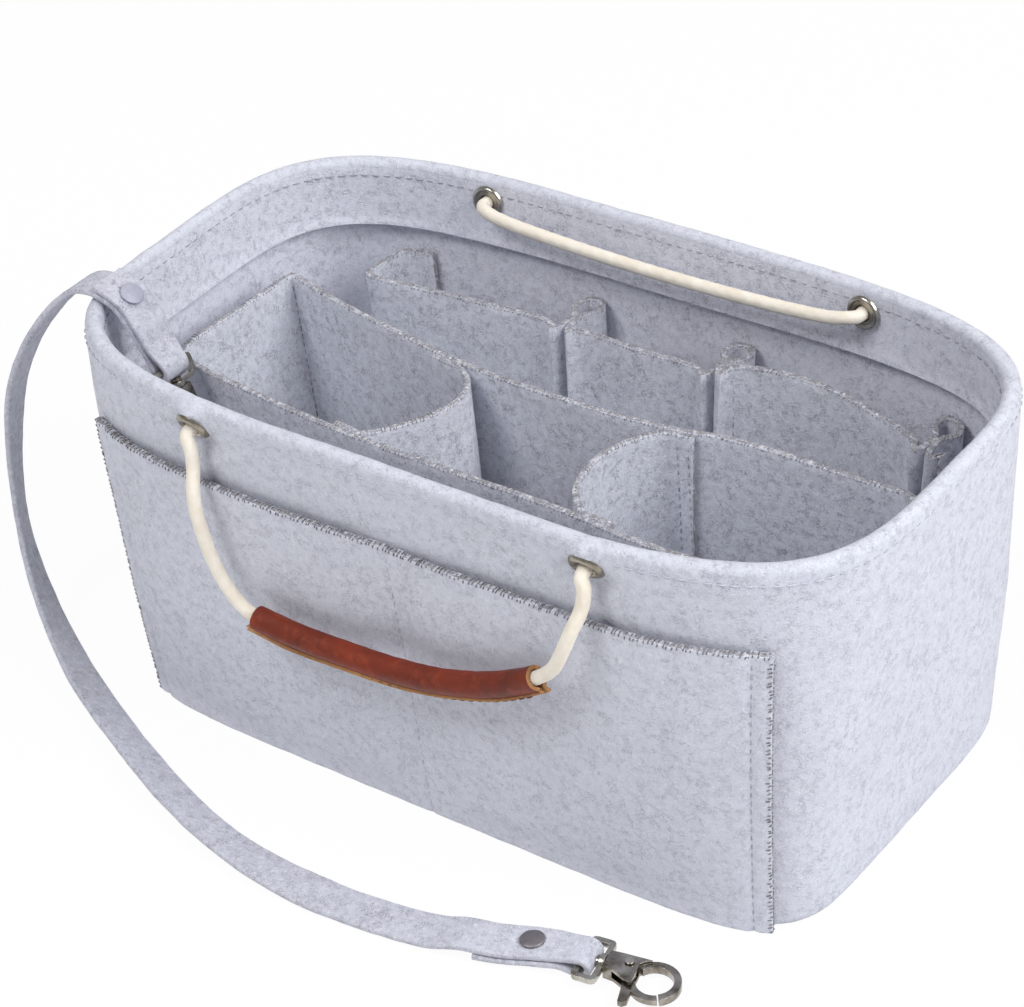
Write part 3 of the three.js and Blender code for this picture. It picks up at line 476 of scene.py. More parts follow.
def felt_finish(name, body_colour, fibre_colour, pale_colour, strength=0.44):
    body_colour, fibre_colour, pale_colour = from_screen(body_colour, fibre_colour, pale_colour)
    finish, shader = new_finish(name, body_colour)
    place = coordinates(finish)
    gathered = ramp(finish, grain(finish, place, CLUSTER_SCALE, 3.0, 0.6), 0.36, 0.64)
    dense = plus(finish, times(finish, gathered, 0.4), 0.52)
    dark = fibre_lines(finish, place, DARK_SCALE, 0.075, 0.47)
    finer = fibre_lines(finish, shifted(finish, place, (0.2, 0.4, 0.1)), FINER_SCALE, 0.09, 0.44)
    pale = fibre_lines(finish, shifted(finish, place, (0.7, 0.1, 0.9)), PALE_SCALE, 0.09, 0.46)
    slow = ramp(finish, grain(finish, place, CLOUD_SCALE, 2.0), 0.3, 0.7)
    fleck = ramp(finish, grain(finish, place, FLECK_SCALE, 2.0, 0.7), 0.35, 0.75)
    deeper = tuple(part * 0.94 for part in body_colour)
    tone = blend_colours(finish, slow, deeper, body_colour)
    tone = blend_colours(finish, times(finish, fleck, strength * 0.32), tone, fibre_colour)
    tone = blend_colours(finish, times(finish, pale, 0.5), tone, pale_colour)
    for lines, share in ((finer, strength * 0.7), (dark, strength)):
        here = times(finish, times(finish, lines, dense), share)
        tone = blend_colours(finish, here, tone, fibre_colour)
    heights = plus(finish, times(finish, fleck, 0.7), plus(finish, times(finish, pale, 0.8), dark))
    return dress(finish, shader, tone, (heights, 0.45, 0.0003), {
        "Roughness": spread_over(finish, fleck, 0.9, 1.0), "Sheen Weight": 0.12,
        "Sheen Roughness": 0.45, "Specular IOR Level": 0.2})


wall_felt = felt_finish("pale heathered felt", (211, 214, 226), (116, 116, 130), (230, 232, 240))
# The inside's felt: painted a shade lighter than the wall's outside, for the light that falls into
# the tub from above.
inside_felt_painted_lighter = felt_finish("inside of the wall painted lighter", (229, 231, 243), (124, 124, 138),
                          (242, 243, 250), 0.6)
lining_felt = felt_finish("lining felt", (219, 222, 233), (104, 105, 117), (240, 242, 249), 0.68)
strap_felt = felt_finish("strap felt", (200, 202, 214), (108, 106, 120), (232, 232, 243), 0.6)


def raw_edge_finish():
    """The cut edge of felt: coarser, darker and a little brown."""
    slot_colour, dark, light, earth = from_screen(
        (160, 160, 166), (140, 139, 146), (206, 207, 216), (146, 139, 130))
    finish, shader = new_finish("raw felt edge", slot_colour)
    place = coordinates(finish)
    coarse = ramp(finish, grain(finish, place, 520, 3.0, 0.7, 0.6), 0.42, 0.6)
    patches = grain(finish, shifted(finish, place, (0.4, 0.2, 0.6)), 330, 2.0)
    brown = ramp(finish, patches, 0.52, 0.66)
    tone = blend_colours(finish, coarse, dark, light)
    tone = blend_colours(finish, times(finish, brown, 0.35), tone, earth)
    return dress(finish, shader, tone, (coarse, 0.8, 0.0006), {
        "Roughness": 0.95, "Sheen Weight": 0.12, "Specular IOR Level": 0.15})


raw_edge = raw_edge_finish()
print("four felts and their cut edge")

# %% [markdown]
# ## Thread
# The front pocket's raw edge is bound with dark grey thread and the inner panels' with a paler one.
# Seams and rim are topstitched with thread near the felt's own colour. Thread is twisted, so a fine
# slanted wave gives it some relief.

# %% Thread finish
def thread_finish(name, colour, darker):
    colour, darker = from_screen(colour, darker)
    finish, shader = new_finish(name, colour)
    place = coordinates(finish)
    twist = add_node(finish, "TexWave", {"Vector": place, "Scale": 900, "Distortion": 2.0},
                     bands_direction="DIAGONAL").outputs["Fac"]
    worn = ramp(finish, grain(finish, place, 240, 2.0), 0.35, 0.65)
    return dress(finish, shader, blend_colours(finish, worn, darker, colour),
                 (twist, 0.4, 0.0001), {"Roughness": 0.8, "Sheen Weight": 0.1})


edge_thread = thread_finish("edge thread", (132, 131, 139), (88, 86, 93))
lining_thread = thread_finish("lining thread", (186, 186, 196), (112, 111, 120))
seam_thread = thread_finish("seam thread", (178, 179, 190), (148, 149, 161))
pale_thread = thread_finish("pale thread", (204, 206, 218), (184, 186, 198))
brown_thread = thread_finish("brown thread", (108, 50, 32), (84, 38, 24))
print("five threads")

# %% [markdown]
# ## Cotton rope
# The handles are soft braided cotton cord, cream and matt. The braid's relief is in the mesh, and
# the finish adds the fine yarns that cross it, with painted shade in the gaps between them. Both
# follow the cord by its UV map.

# %% Rope finish
def rope_finish():
    slot_colour, dusty, clean, gap = from_screen(
        (238, 230, 214), (232, 223, 209), (244, 239, 229), (206, 194, 174))
    finish, shader = new_finish("cream cotton", slot_colour)
    flat, place = coordinates(finish, "UV"), coordinates(finish)
    yarns = []
    for slant in (38, -38):
        turned_by = (0, 0, math.radians(slant))
        drawn = add_node(finish, "Mapping", {"Vector": flat, "Rotation": turned_by}).outputs[0]
        yarns.append(add_node(finish, "TexWave", {
            "Vector": drawn, "Scale": 520, "Distortion": 0.6, "Detail": 1.0}).outputs["Fac"])
    braid = times(finish, *yarns)
    dust = ramp(finish, grain(finish, place, 160, 3.0, 0.6), 0.35, 0.7)
    tone = blend_colours(finish, dust, dusty, clean)
    # Painted shade: the low places between the yarns take the darker gap colour.
    gap_shade = times(finish, ramp(finish, braid, 0.25, 0.0), 0.4)
    return dress(finish, shader, blend_colours(finish, gap_shade, tone, gap),
                 (braid, 0.3, 0.0002),
                 {"Roughness": 0.88, "Sheen Weight": 0.25, "Specular IOR Level": 0.25})


cotton = rope_finish()
print(cotton.name)

# %% [markdown]
# ## Leather
# The grips are rust-brown leather with a smooth, slightly waxy face. Its pores and creases are
# cells of a Voronoi texture over soft noise. The cut edges and the flesh side stay raw and tan.

# %% Leather finishes
def leather_finish(name, deep, mid, lit, roughness, pores):
    deep, mid, lit = from_screen(deep, mid, lit)
    finish, shader = new_finish(name, mid)
    place = coordinates(finish)
    clouds = ramp(finish, grain(finish, place, 70, 4.0, 0.6), 0.3, 0.7)
    tone = blend_colours(finish, clouds, deep, mid)
    streaks = ramp(finish, grain(finish, place, 260, 3.0, 0.65), 0.5, 0.75)
    tone = blend_colours(finish, times(finish, streaks, 0.5), tone, lit)
    cells = add_node(finish, "TexVoronoi", {"Vector": place, "Scale": pores},
                     feature="DISTANCE_TO_EDGE").outputs["Distance"]
    heights = plus(finish, ramp(finish, cells, 0.0, 0.22), grain(finish, place, 420, 3.0))
    return dress(finish, shader, tone, (heights, 0.35, 0.00025), {
        "Roughness": spread_over(finish, clouds, roughness, roughness + 0.14),
        "Specular IOR Level": 0.28})


leather_face = leather_finish("rust leather", (92, 32, 14), (130, 46, 22), (158, 68, 38),
                              0.42, 1500)
leather_raw = leather_finish("raw leather edge", (150, 104, 66), (184, 138, 94), (208, 168, 124),
                             0.8, 900)
print("leather face and raw edge")

# %% [markdown]
# ## Metal
# Clasps, eyelets and rivets are plated steel. Plating is smooth but never clean: its shine varies
# in clouds and it has hair-thin scratches. One helper gives all of them, from bright nickel to the
# dark plating of the clasp bodies and the paint of the inner rivet.

# %% Metal finishes
def metal_finish(name, colour, worn, roughness):
    colour, worn = from_screen(colour, worn)
    finish, shader = new_finish(name, colour)
    place = coordinates(finish)
    clouds = ramp(finish, grain(finish, place, 190, 4.0, 0.6), 0.32, 0.72)
    drawn = add_node(finish, "Mapping", {"Vector": place, "Scale": (1, 9, 3)}).outputs[0]
    lines = grain(finish, drawn, 700, 3.0, 0.7)
    return dress(finish, shader, blend_colours(finish, clouds, worn, colour),
                 (lines, 0.12, 0.00006), {
                     "Roughness": spread_over(finish, lines, roughness * 0.7, roughness * 1.35),
                     "Metallic": 1})


nickel = metal_finish("nickel", (206, 203, 196), (158, 152, 140), 0.24)
old_nickel = metal_finish("aged nickel", (188, 182, 170), (134, 125, 110), 0.3)
gunmetal = metal_finish("dark nickel", (190, 185, 177), (104, 96, 86), 0.17)
rivet_metal = metal_finish("matt rivet", (158, 154, 158), (128, 124, 128), 0.5)
spring_steel = metal_finish("spring steel", (170, 170, 172), (120, 118, 116), 0.3)
painted_rivet = metal_finish("painted rivet", (212, 213, 224), (196, 197, 210), 0.85)
print("six metals")

# %% [markdown]
# ## Where the eyelets are
# Each rope passes the wall through two eyelets. Their places are needed first, because the ropes
# start in them. An eyelet stands square to the wall, which leans and curves there. The hanging
# front handle pulls its two eyelets down, so they droop and drag the felt with them.

# %% Eyelet places
EYELET_X = 74.4
EYELET_Z = 130.0
STACK = 5.5
FRONT_DROOP = math.radians(27)


def eyelet_place(side_x, side_y):
    """Middle of the eyelet on the wall's outer face, and its outward axis, drooping in front."""
    x = side_x * EYELET_X
    y = float(wall_y(x, EYELET_Z))
    plan = wall_normal(np.array(x), EYELET_Z)
    lean = (float(wall_y(x, HEIGHT)) - y) / (HEIGHT - EYELET_Z)
    axis = unit(np.array((plan[0], side_y * plan[1], -lean)))
    if side_y < 0:
        down = unit(np.array((0, 0, -1)) - axis * -axis[2])
        axis = axis * math.cos(FRONT_DROOP) + down * math.sin(FRONT_DROOP)
    return np.array((x, side_y * y, EYELET_Z)), axis


eyelets = {(end, side): eyelet_place(end_sign, side_sign)
           for end, end_sign in (("left", -1), ("right", 1))
           for side, side_sign in (("front", -1), ("back", 1))}
print("front left eyelet at", np.round(eyelets["left", "front"][0], 1))

# %% [markdown]
# ## Rope handles
# The cord leaves the left eyelet, hangs down the outside, goes through the leather grip and comes
# back up into the right eyelet. The braid is drawn as a relief of two crossing spirals on a round
# tube.

# %% Rope helpers
ROPE = 4.5
ROPE_ROW = 0.7
STRANDS, SPIRAL, BRAID_DEPTH = 4, 1.15, 0.025


def carried_frames(line):
    """Two directions square to a line at each point, carried along it without twisting."""
    heading = unit(np.gradient(line, axis=0))
    side = np.cross(heading[0], (0.0, 0.0, 1.0))
    if np.linalg.norm(side) < 0.2:
        side = np.cross(heading[0], (1.0, 0.0, 0.0))
    sides = [side / np.linalg.norm(side)]
    for step in heading[1:]:
        side = sides[-1] - step * np.dot(sides[-1], step)
        sides.append(side / np.linalg.norm(side))
    sides = np.array(sides)
    return sides, np.cross(heading, sides)


def braided_cord(name, line, diameter):
    length = line_length(line)
    rows = int(length / ROPE_ROW)
    centres = along_line(line, np.linspace(0, 1, rows + 1))
    first, second = carried_frames(centres)

    def place(across, up):
        row = np.rint(up * rows).astype(int)
        angle = across * 2 * np.pi
        run = up * length
        strands = np.maximum(np.cos(STRANDS * angle + run * SPIRAL),
                             np.cos(STRANDS * angle - run * SPIRAL))
        radius = diameter / 2 * (1 - BRAID_DEPTH + BRAID_DEPTH * strands)
        ends = np.minimum(run, length - run)
        radius = radius * np.sqrt(np.clip(ends / (diameter * 0.4) * 0.9 + 0.1, 0, 1))
        return centres[row] + radius[:, None] * (
            np.cos(angle)[:, None] * first[row] + np.sin(angle)[:, None] * second[row])

    cord = bent_grid(name, 28, rows, place, (math.pi * diameter, length),
                     joined=True, capped=True)
    smooth_faces(cord, 70)
    return cord


print("rope of", ROPE, "mm")

# %% Outer runs
HANDLE_ROUTE = np.array([
    (-73, -85.6, 125), (-71.8, -86.8, 118.6), (-69.6, -90.6, 112.5), (-68, -92.3, 106),
    (-66.2, -92.6, 98), (-64, -92.6, 90), (-60.3, -92.2, 81), (-54.5, -91.8, 73.8),
    (-49, -91.6, 71.3), (-40, -91.5, 70.4), (-31, -91.5, 70), (-11, -91.5, 70.6),
    (6, -91.5, 71.7), (24, -91.5, 74.6),
    (43, -91.7, 81), (55, -92, 87.2), (61, -92.3, 91), (67.5, -92.6, 97), (71.6, -92.4, 105),
    (74, -90.8, 112), (75.8, -87.2, 118.8), (76, -85.7, 125)])
GRIP_FIRST, GRIP_LAST = 8, 16
PIVOT_REACH = 4.2


def pivot_of(end, side):
    centre, axis = eyelets[end, side]
    return centre + axis * PIVOT_REACH


def route_of(side):
    return HANDLE_ROUTE * ((1, 1, 1) if side == "front" else (1, -1, 1))


handle_lines = {}
for side in ("front", "back"):
    left, right = eyelets["left", side], eyelets["right", side]
    hanging = np.vstack([pivot_of("left", side), route_of(side), pivot_of("right", side)])
    whole = np.vstack([left[0] - left[1] * 1.2, left[0] + left[1] * 1.6, hanging,
                       right[0] + right[1] * 1.6, right[0] - right[1] * 1.2])
    handle_lines[side] = smooth_line(whole, 12)
    rope = braided_cord(side + "_handle_rope", handle_lines[side], ROPE)
    rope.data.materials.append(cotton)
    pivot = pivot_of("left", side)
    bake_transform(rope)
    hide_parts(side + "_rope_outer_run")
    print(side, "rope", round(line_length(handle_lines[side]), 1), "mm between its eyelets")

# %% [markdown]
# Inside the rim the same cord runs straight from eyelet to eyelet, with a shallow sag. It doesn't
# turn with the handle, so it is its own piece and rides on the tub.

# %% Inner runs
INNER_REACH = {"front": 9.2, "back": 11.5}
SAG = {"front": 2.6, "back": 3.2}
inner_lines = {}
for side in ("front", "back"):
    side_y = -1 if side == "front" else 1
    reach, sag = INNER_REACH[side], SAG[side]
    ends = []
    for end, inwards in (("left", 1), ("right", -1)):
        centre, axis = eyelets[end, side]
        flat = axis if side == "back" else unit(axis * (1, 1, 0))
        drop = np.array((0, 0, -1.2 if side == "front" else 0))
        ends.append([
            centre - axis * 1.6, centre - axis * STACK, centre - flat * (reach - ROPE / 2),
            centre - flat * reach + (inwards * ROPE / 2, 0, 0) + drop,
            centre - flat * reach + (inwards * 9, -side_y * sag / 3, -sag / 3) + drop])
    middle_y = float(wall_y(0, EYELET_Z)) - reach - ROPE / 2
    middle = np.array((0, side_y * middle_y, EYELET_Z - sag))
    whole = np.array(ends[0] + [middle] + ends[1][::-1])
    inner_lines[side] = smooth_line(whole, 12)
    rope = braided_cord(side + "_inner_rope", inner_lines[side], ROPE)
    stands_for(rope, cotton, side + "_rope_inner_run")

# %% [markdown]
# ## Lanyard strap
# The strap is a strip of felt, folded back over the bar of a clasp at each end and held by a rivet.
# It climbs out of the tub, curls over the rim, falls to the table, where it first leans on its far
# edge, and runs along the front. Beside each listed point stands the direction that the
# strip's folded-back face looks in, so the strip can turn over slowly on its way, as felt does.

# %% Strap route
STRAP_WIDTH = 14.0
STRAP_FELT = 2.2
FOLD_RADIUS = 2.8
FOLD_BACK = 34.0
EYE_LENGTH = 7.5


OUTER_ALONG = unit(np.array((0.982, 0.18, -0.035)))
INNER_ALONG = unit(np.array((0.3, 0, -0.954)))
outer_bar = np.array((83.8, -109.6, 4.2))
inner_bar = np.array((-115.314, -44.437, 110.437)) - INNER_ALONG * EYE_LENGTH
outer_across = unit(np.array((-OUTER_ALONG[1], OUTER_ALONG[0], 0)))
outer_face = -unit(np.cross(OUTER_ALONG, outer_across))
inner_face = np.array((-INNER_ALONG[2], 0, INNER_ALONG[0]))

STRAP_ROUTE = [
    (inner_bar - FOLD_RADIUS * inner_face, inner_face),
    ((-123.1, -44.4, 125), (0.93, 0, 0.36)), ((-126.6, -44.4, 131.6), (0.8, 0, 0.6)),
    ((-132, -44.4, 138.4), (0.5, 0, 0.87)), ((-139.6, -44.4, 141.3), (0.12, 0, 0.99)),
    ((-148.6, -44.4, 140.6), (-0.4, 0, 0.92)), ((-157.5, -44.2, 134.5), (-0.66, 0, 0.75)),
    ((-169.5, -44.4, 122.4), (-0.76, -0.06, 0.65)), ((-181.4, -45, 106.5), (-0.86, -0.15, 0.5)),
    ((-190.2, -46, 88.5), (-0.93, -0.24, 0.3)), ((-194.5, -47.1, 70.4), (-0.92, -0.36, 0.19)),
    ((-195.3, -49.7, 50.9), (-0.86, -0.51, 0.05)), ((-192, -53.8, 33.9), (-0.81, -0.58, -0.09)),
    ((-184.6, -59, 21.5), (-0.78, -0.54, -0.31)), ((-174.6, -64.7, 11.3), (-0.7, -0.5, -0.51)),
    ((-161.5, -72.1, 5.5), (-0.48, -0.49, -0.73)), ((-141.6, -84.1, 4.9), (-0.29, -0.44, -0.85)),
    ((-123, -93.8, 4.7), (-0.21, -0.44, -0.87)), ((-101.1, -104.1, 4.5), (-0.18, -0.42, -0.89)),
    ((-75.8, -114.8, 4.2), (-0.14, -0.38, -0.91)), ((-52.5, -122.3, 3.6), (-0.09, -0.31, -0.95)),
    ((-29.6, -126.2, 2.6), (-0.02, -0.17, -0.98)), ((-5, -126.8, 1.6), (0, 0, -1)),
    ((20, -124.8, 1.6), (0, 0, -1)), ((36, -122.4, 2.3), (0, 0, -1)),
    ((46, -120.4, 4.6), (0, 0, -1)), ((58, -117.4, 5), (0, 0, -1)),
    ((68, -113.2, 5.2), (0, 0, -1)), ((75.4, -111.3, 6), (0, 0, -1)),
    (outer_bar - FOLD_RADIUS * outer_face, outer_face)]
strap_middle = smooth_line([place for place, _ in STRAP_ROUTE], 24)
strap_looks = smooth_line([look for _, look in STRAP_ROUTE], 24)
strap_length = line_length(strap_middle)
print("strap", round(strap_length, 1), "mm between its bars")

# %% Strap stations
strap_travelled = distances_along(strap_middle)
strap_heading = unit(np.gradient(strap_middle, axis=0))
LAYER_GAP = 0.4
FOLD_CLOSES = 9


def strap_at(distance):
    """Place, heading and face of the strap at a distance from its inner bar."""
    place, heading, face = (at_distances(table, strap_travelled, distance)
                            for table in (strap_middle, strap_heading, strap_looks))
    heading = unit(heading)
    return place, heading, unit(face - heading * np.dot(face, heading))


def fold(distance_at, beyond):
    """Stations of a folded end: half a turn round the bar, then back along the strap."""
    stations = []
    place, heading, face = strap_at(distance_at(0))
    for turn in np.linspace(0, np.pi, 14)[1:-1]:
        cos, sin = math.cos(turn), math.sin(turn)
        stations.append((
            place + face * FOLD_RADIUS * (1 - cos) + heading * beyond * FOLD_RADIUS * sin,
            heading * cos + face * beyond * sin, face * cos - heading * beyond * sin))
    for back in np.linspace(0, FOLD_BACK, 26):
        place, heading, face = strap_at(distance_at(back))
        share = min(back / FOLD_CLOSES, 1)
        closed = share * share * (3 - 2 * share)
        lift = 2 * FOLD_RADIUS + (STRAP_FELT + LAYER_GAP - 2 * FOLD_RADIUS) * closed
        stations.append((place + face * lift, -heading, -face))
    return stations


strap_stations = (fold(lambda back: back, -1)[::-1]
                  + [strap_at(distance) for distance in np.linspace(0, strap_length, 420)]
                  + fold(lambda back: strap_length - back, 1))
print(len(strap_stations), "stations")

# %% Strap
strap_places, strap_headings, strap_faces = (np.array(part) for part in zip(*strap_stations))
strap_sides = np.cross(strap_headings, strap_faces)
strap_run = distances_along(strap_places)
GROOVE_AT, GROOVE_WIDTH, GROOVE_DEPTH = 5.2, 0.55, 0.22


def strap_section():
    """The strip's rounded cross section, once round."""
    corner = 0.8
    flat_w, flat_t = STRAP_WIDTH / 2 - corner, STRAP_FELT / 2 - corner
    turn = np.linspace(0, np.pi / 2, 4)
    ring = []
    for start, (sign_w, sign_t) in enumerate(((1, 1), (-1, 1), (-1, -1), (1, -1))):
        angle = turn + start * np.pi / 2
        ring += [(sign_w * flat_w + corner * math.cos(a), sign_t * flat_t + corner * math.sin(a))
                 for a in angle]
        if start % 2 == 0:
            other = -sign_w * flat_w
            ring += [(sign_w * flat_w + (other - sign_w * flat_w) * share, sign_t * STRAP_FELT / 2)
                     for share in (0.14, 0.3, 0.5, 0.7, 0.86)]
    return np.array(ring)


strap_ring = strap_section()


def strap_place(across, up):
    """The strap's surface: uneven in width, narrower at the bars, grooved along its edges."""
    row = np.rint(up * (len(strap_stations) - 1)).astype(int)
    section = strap_ring[np.rint(across * len(strap_ring)).astype(int) % len(strap_ring)]
    waist = 1 + 0.012 * np.sin(strap_run[row] / 9.0) + 0.01 * np.sin(strap_run[row] / 3.7)
    for bar in (outer_bar, inner_bar):
        near = np.linalg.norm(strap_places[row] - bar, axis=1)
        waist = waist * (1 - 0.22 * np.exp(-(near / 8.5) ** 2))
    groove = np.exp(-((np.abs(section[:, 0]) - GROOVE_AT) / GROOVE_WIDTH) ** 2) * GROOVE_DEPTH
    depth = section[:, 1] - np.sign(section[:, 1]) * groove
    return (strap_places[row] + strap_sides[row] * (section[:, 0] * waist)[:, None]
            + strap_faces[row] * depth[:, None])


strap = bent_grid("lanyard_strap_felt", len(strap_ring), len(strap_stations) - 1, strap_place,
                  (2 * STRAP_WIDTH, strap_run[-1]), joined=True, capped=True)
smooth_faces(strap, 60)
ruffle(strap, 0.12, 5, 3)
stands_for(strap, strap_felt, "lanyard_strap")

# %% [markdown]
# ## Outer wall and its facing
# The wall is one long strip of felt, sewn to a facing inside the rim, so that the rim looks folded
# over. Here both are one sheet: it starts at the table, goes up the outside, over the rim and down
# the inside as far as the facing reaches. At its foot it turns in a little, which gives the base
# its soft edge, and the facing's lower edge stands off the wall a little. The faces that look
# inwards take the inside's felt, painted a shade lighter for the light that falls into the tub
# from above.

# %% Wall
FACING_BOTTOM = 114.0
RIM_TURN = (STACK - WALL_FELT) / 2
OUT_INSET = WALL_FELT / 2
IN_INSET = STACK - WALL_FELT / 2
RIM_ROWS = 8
FOOT_TURN = 1.5
FACING_LIFT = 0.6


def wall_profile():
    """Height and inset of the sheet's middle from the foot, over the rim, to the facing's edge."""
    top = HEIGHT - RIM_TURN - WALL_FELT / 2
    middle = (OUT_INSET + IN_INSET) / 2
    foot = [(height, OUT_INSET + FOOT_TURN * (1 - height / 4) ** 2)
            for height in (0.15, 1.0, 2.2, 3.5)]
    rise = [(height, OUT_INSET) for height in np.linspace(5, top, 44)]
    over = [(top + RIM_TURN * math.sin(angle), middle - RIM_TURN * math.cos(angle))
            for angle in np.linspace(0, math.pi, RIM_ROWS + 1)[1:]]
    down = [(height, IN_INSET + FACING_LIFT * max(1 - (height - FACING_BOTTOM) / 5, 0) ** 2)
            for height in np.linspace(top, FACING_BOTTOM, 14)[1:]]
    return foot + rise + over + down


wall_rows = wall_profile()
SWAY_SEED = Vector((3.7, 1.9, 8.2))
SWAY, SWAY_SIZE = 0.9, 46


def sway(x, y, z):
    """Slow waves of the felt wall in millimetres, none at its foot."""
    places = np.stack([x, y, z], axis=-1).reshape(-1, 3)
    wave = np.array([noise.noise(Vector(place) / SWAY_SIZE + SWAY_SEED) for place in places])
    return wave * np.clip(places[:, 2] / 60, 0, 1) * SWAY


def swayed_ring(height, inset, shares):
    """Places round the wall at one height, moved by the wall's waves."""
    ring = outline(height, inset, shares)
    outer = outline(height, 0, shares)
    level_rows = np.full(len(shares), height)
    out = unit(ring * (1 / RIM[0] ** 2, 1 / RIM[1] ** 2))
    moved = ring + out * sway(outer[:, 0], outer[:, 1], level_rows)[:, None]
    return np.column_stack([moved, level_rows])


def wall_row(across, up):
    return swayed_ring(*wall_rows[int(round(up * (len(wall_rows) - 1)))], across)


wall = bent_grid("felt_wall", 300, len(wall_rows) - 1, by_rows(wall_row), (900, 166), joined=True)
# Painted light: the faces that look into the tub, from 3 mm below the rim down, and the sheet's
# inner side take the second slot, the inside's felt, painted lighter for the light from above.
centres = read_rows(wall.data.polygons, "center") / MM
halves = np.array([body_at(height, (OUT_INSET + IN_INSET) / 2) for height in centres[:, 2]])
reach = np.sum((np.abs(centres[:, :2]) / halves[:, :2]) ** halves[:, 2:], axis=1)
wall.data.polygons.foreach_set(
    "material_index", ((reach < 1) & (centres[:, 2] < HEIGHT - 3)).astype(int))
thicken(wall, WALL_FELT, finishes=(wall_felt, inside_felt_painted_lighter), inner_slot=1)
print("wall", len(wall.data.polygons), "faces")

# %% [markdown]
# The front handle's weight turns the felt round its eyelets downwards. Each point near such an
# eyelet is turned about a level line through it, most under the flange and not at all at the rim.
# Then the holes are punched with a cylinder and the Boolean modifier, as a punch would do it.

# %% Droop and punch the eyelet holes
FLANGE = 6.3
REACH_UP, REACH_DOWN = 9.0, 14.0
HOLE = 3.85


def droop(piece):
    places = vertices_of(piece) / MM
    for end in ("left", "right"):
        centre, axis = eyelets[end, "front"]
        out = unit(axis * (1, 1, 0))
        level_line = np.cross(out, upwards)
        offset = places - centre
        depth, aside, high = offset @ out, offset @ level_line, offset[:, 2]
        reach = np.hypot(aside, high)
        limit = np.where(high > 0, REACH_UP, REACH_DOWN)
        share = np.clip((limit - reach) / (limit - FLANGE), 0, 1)
        turn = -FRONT_DROOP * share * share * (3 - 2 * share) * (np.abs(depth) < 12)
        cos, sin = np.cos(turn), np.sin(turn)
        places = (centre + np.outer(depth * cos - high * sin, out) + np.outer(aside, level_line)
                  + np.outer(depth * sin + high * cos, upwards))
    move_vertices(piece, places * MM)


def turned_to(axis):
    """A turn that lays +Z along an axis."""
    return Vector((0, 0, 1)).rotation_difference(Vector(axis)).to_matrix().to_4x4()


def punch(piece, radius, depth=30):
    for centre, axis in eyelets.values():
        bpy.ops.object.select_all(action="DESELECT")
        bpy.ops.mesh.primitive_cylinder_add(vertices=32, radius=radius * MM, depth=depth * MM)
        tool = bpy.context.object
        tool.data.transform(Matrix.Translation(Vector(centre) * MM) @ turned_to(axis))
        hole = piece.modifiers.new("hole", "BOOLEAN")
        hole.operation = "DIFFERENCE"
        hole.solver = "EXACT"
        hole.object = tool
        finish_modifiers(piece)
        bpy.data.objects.remove(tool)


droop(wall)
punch(wall, HOLE)
ruffle(wall, 0.16, 6, 1)
stand_on_table(wall)
smooth_faces(wall, 55)
stands_for(wall, (wall_felt, inside_felt_painted_lighter), "shell_wall", "rim_facing")

# %% [markdown]
# ## Base
# A second layer of felt stiffens the bottom. A square grid is pressed into the base's outline by
# moving each ring of the square out or in to a ring of the superellipse.

# %% Base panel
def base_place(across, up):
    half_x, half_y, power = body_at(0, 3.5)
    a, b = across * 2 - 1, up * 2 - 1
    reach = np.maximum(np.abs(a), np.abs(b))
    round_reach = np.maximum((np.abs(a) ** power + np.abs(b) ** power) ** (1 / power), 1e-9)
    scale = reach / round_reach
    return np.column_stack([half_x * a * scale, half_y * b * scale, np.full(len(a), 1.6)])


base = bent_grid("base_felt", 80, 46, base_place, (262, 137))
thicken(base, 2.8)
ruffle(base, 0.12, 7, 2)
stand_on_table(base)
smooth_faces(base)
stands_for(base, lining_felt, "base_panel")

# %% [markdown]
# ## Standing panels
# The box, its dividers and the pocket strip stand on the base. Each is drawn in plan by a smooth
# line through shares of the tub's inner size, at three heights, and the felt between is straight.

# %% Panel helper
BOX_TOP = 110.0
PLAN_SPAN = 10
PANEL_ROWS = 30


def panel_line_at(plan, top, joined=False):
    """A formula for points on a standing panel's middle from shares along and up."""
    lines = [smooth_line(plan(FLOOR + (top - FLOOR) * share), PLAN_SPAN, joined)
             for share in (0, 0.5, 1)]

    def at(across, up):
        places = [along_line(line, across, joined) for line in lines]
        lower = np.minimum(up * 2, 1)[:, None]
        upper = np.maximum(up * 2 - 1, 0)[:, None]
        return places[0] + (places[1] - places[0]) * lower + (places[2] - places[1]) * upper
    return at, line_length(lines[2])


def standing_panel(name, plan, top, columns, wave, seed, joined=False, rise=None):
    """A wavy panel that stands on the base, and its top edge."""
    at, length = panel_line_at(plan, top, joined)

    def place(across, up):
        lift = rise(across) if rise else 0
        height = FLOOR + (top + lift - FLOOR) * up
        points = np.column_stack([at(across, up), height])
        waves = np.array([noise.noise_vector(Vector(point) / 34 + Vector((seed, 2 * seed, 1)))
                          for point in points])
        waves[:, 2] = 0
        return points + waves * wave * np.sin(up * 2.2)[:, None]

    piece = bent_grid(name, columns, PANEL_ROWS, place, (length, top - FLOOR), joined)
    thicken(piece, LINING_FELT, finishes=(lining_felt, raw_edge))
    ruffle(piece, 0.14, 6, seed + 1)
    smooth_faces(piece)
    edge_shares = np.linspace(0, 1, max(int(length), 8) + 1)
    edge = place(np.where(joined & (edge_shares >= 1), 0, edge_shares), np.ones(len(edge_shares)))
    return piece, edge


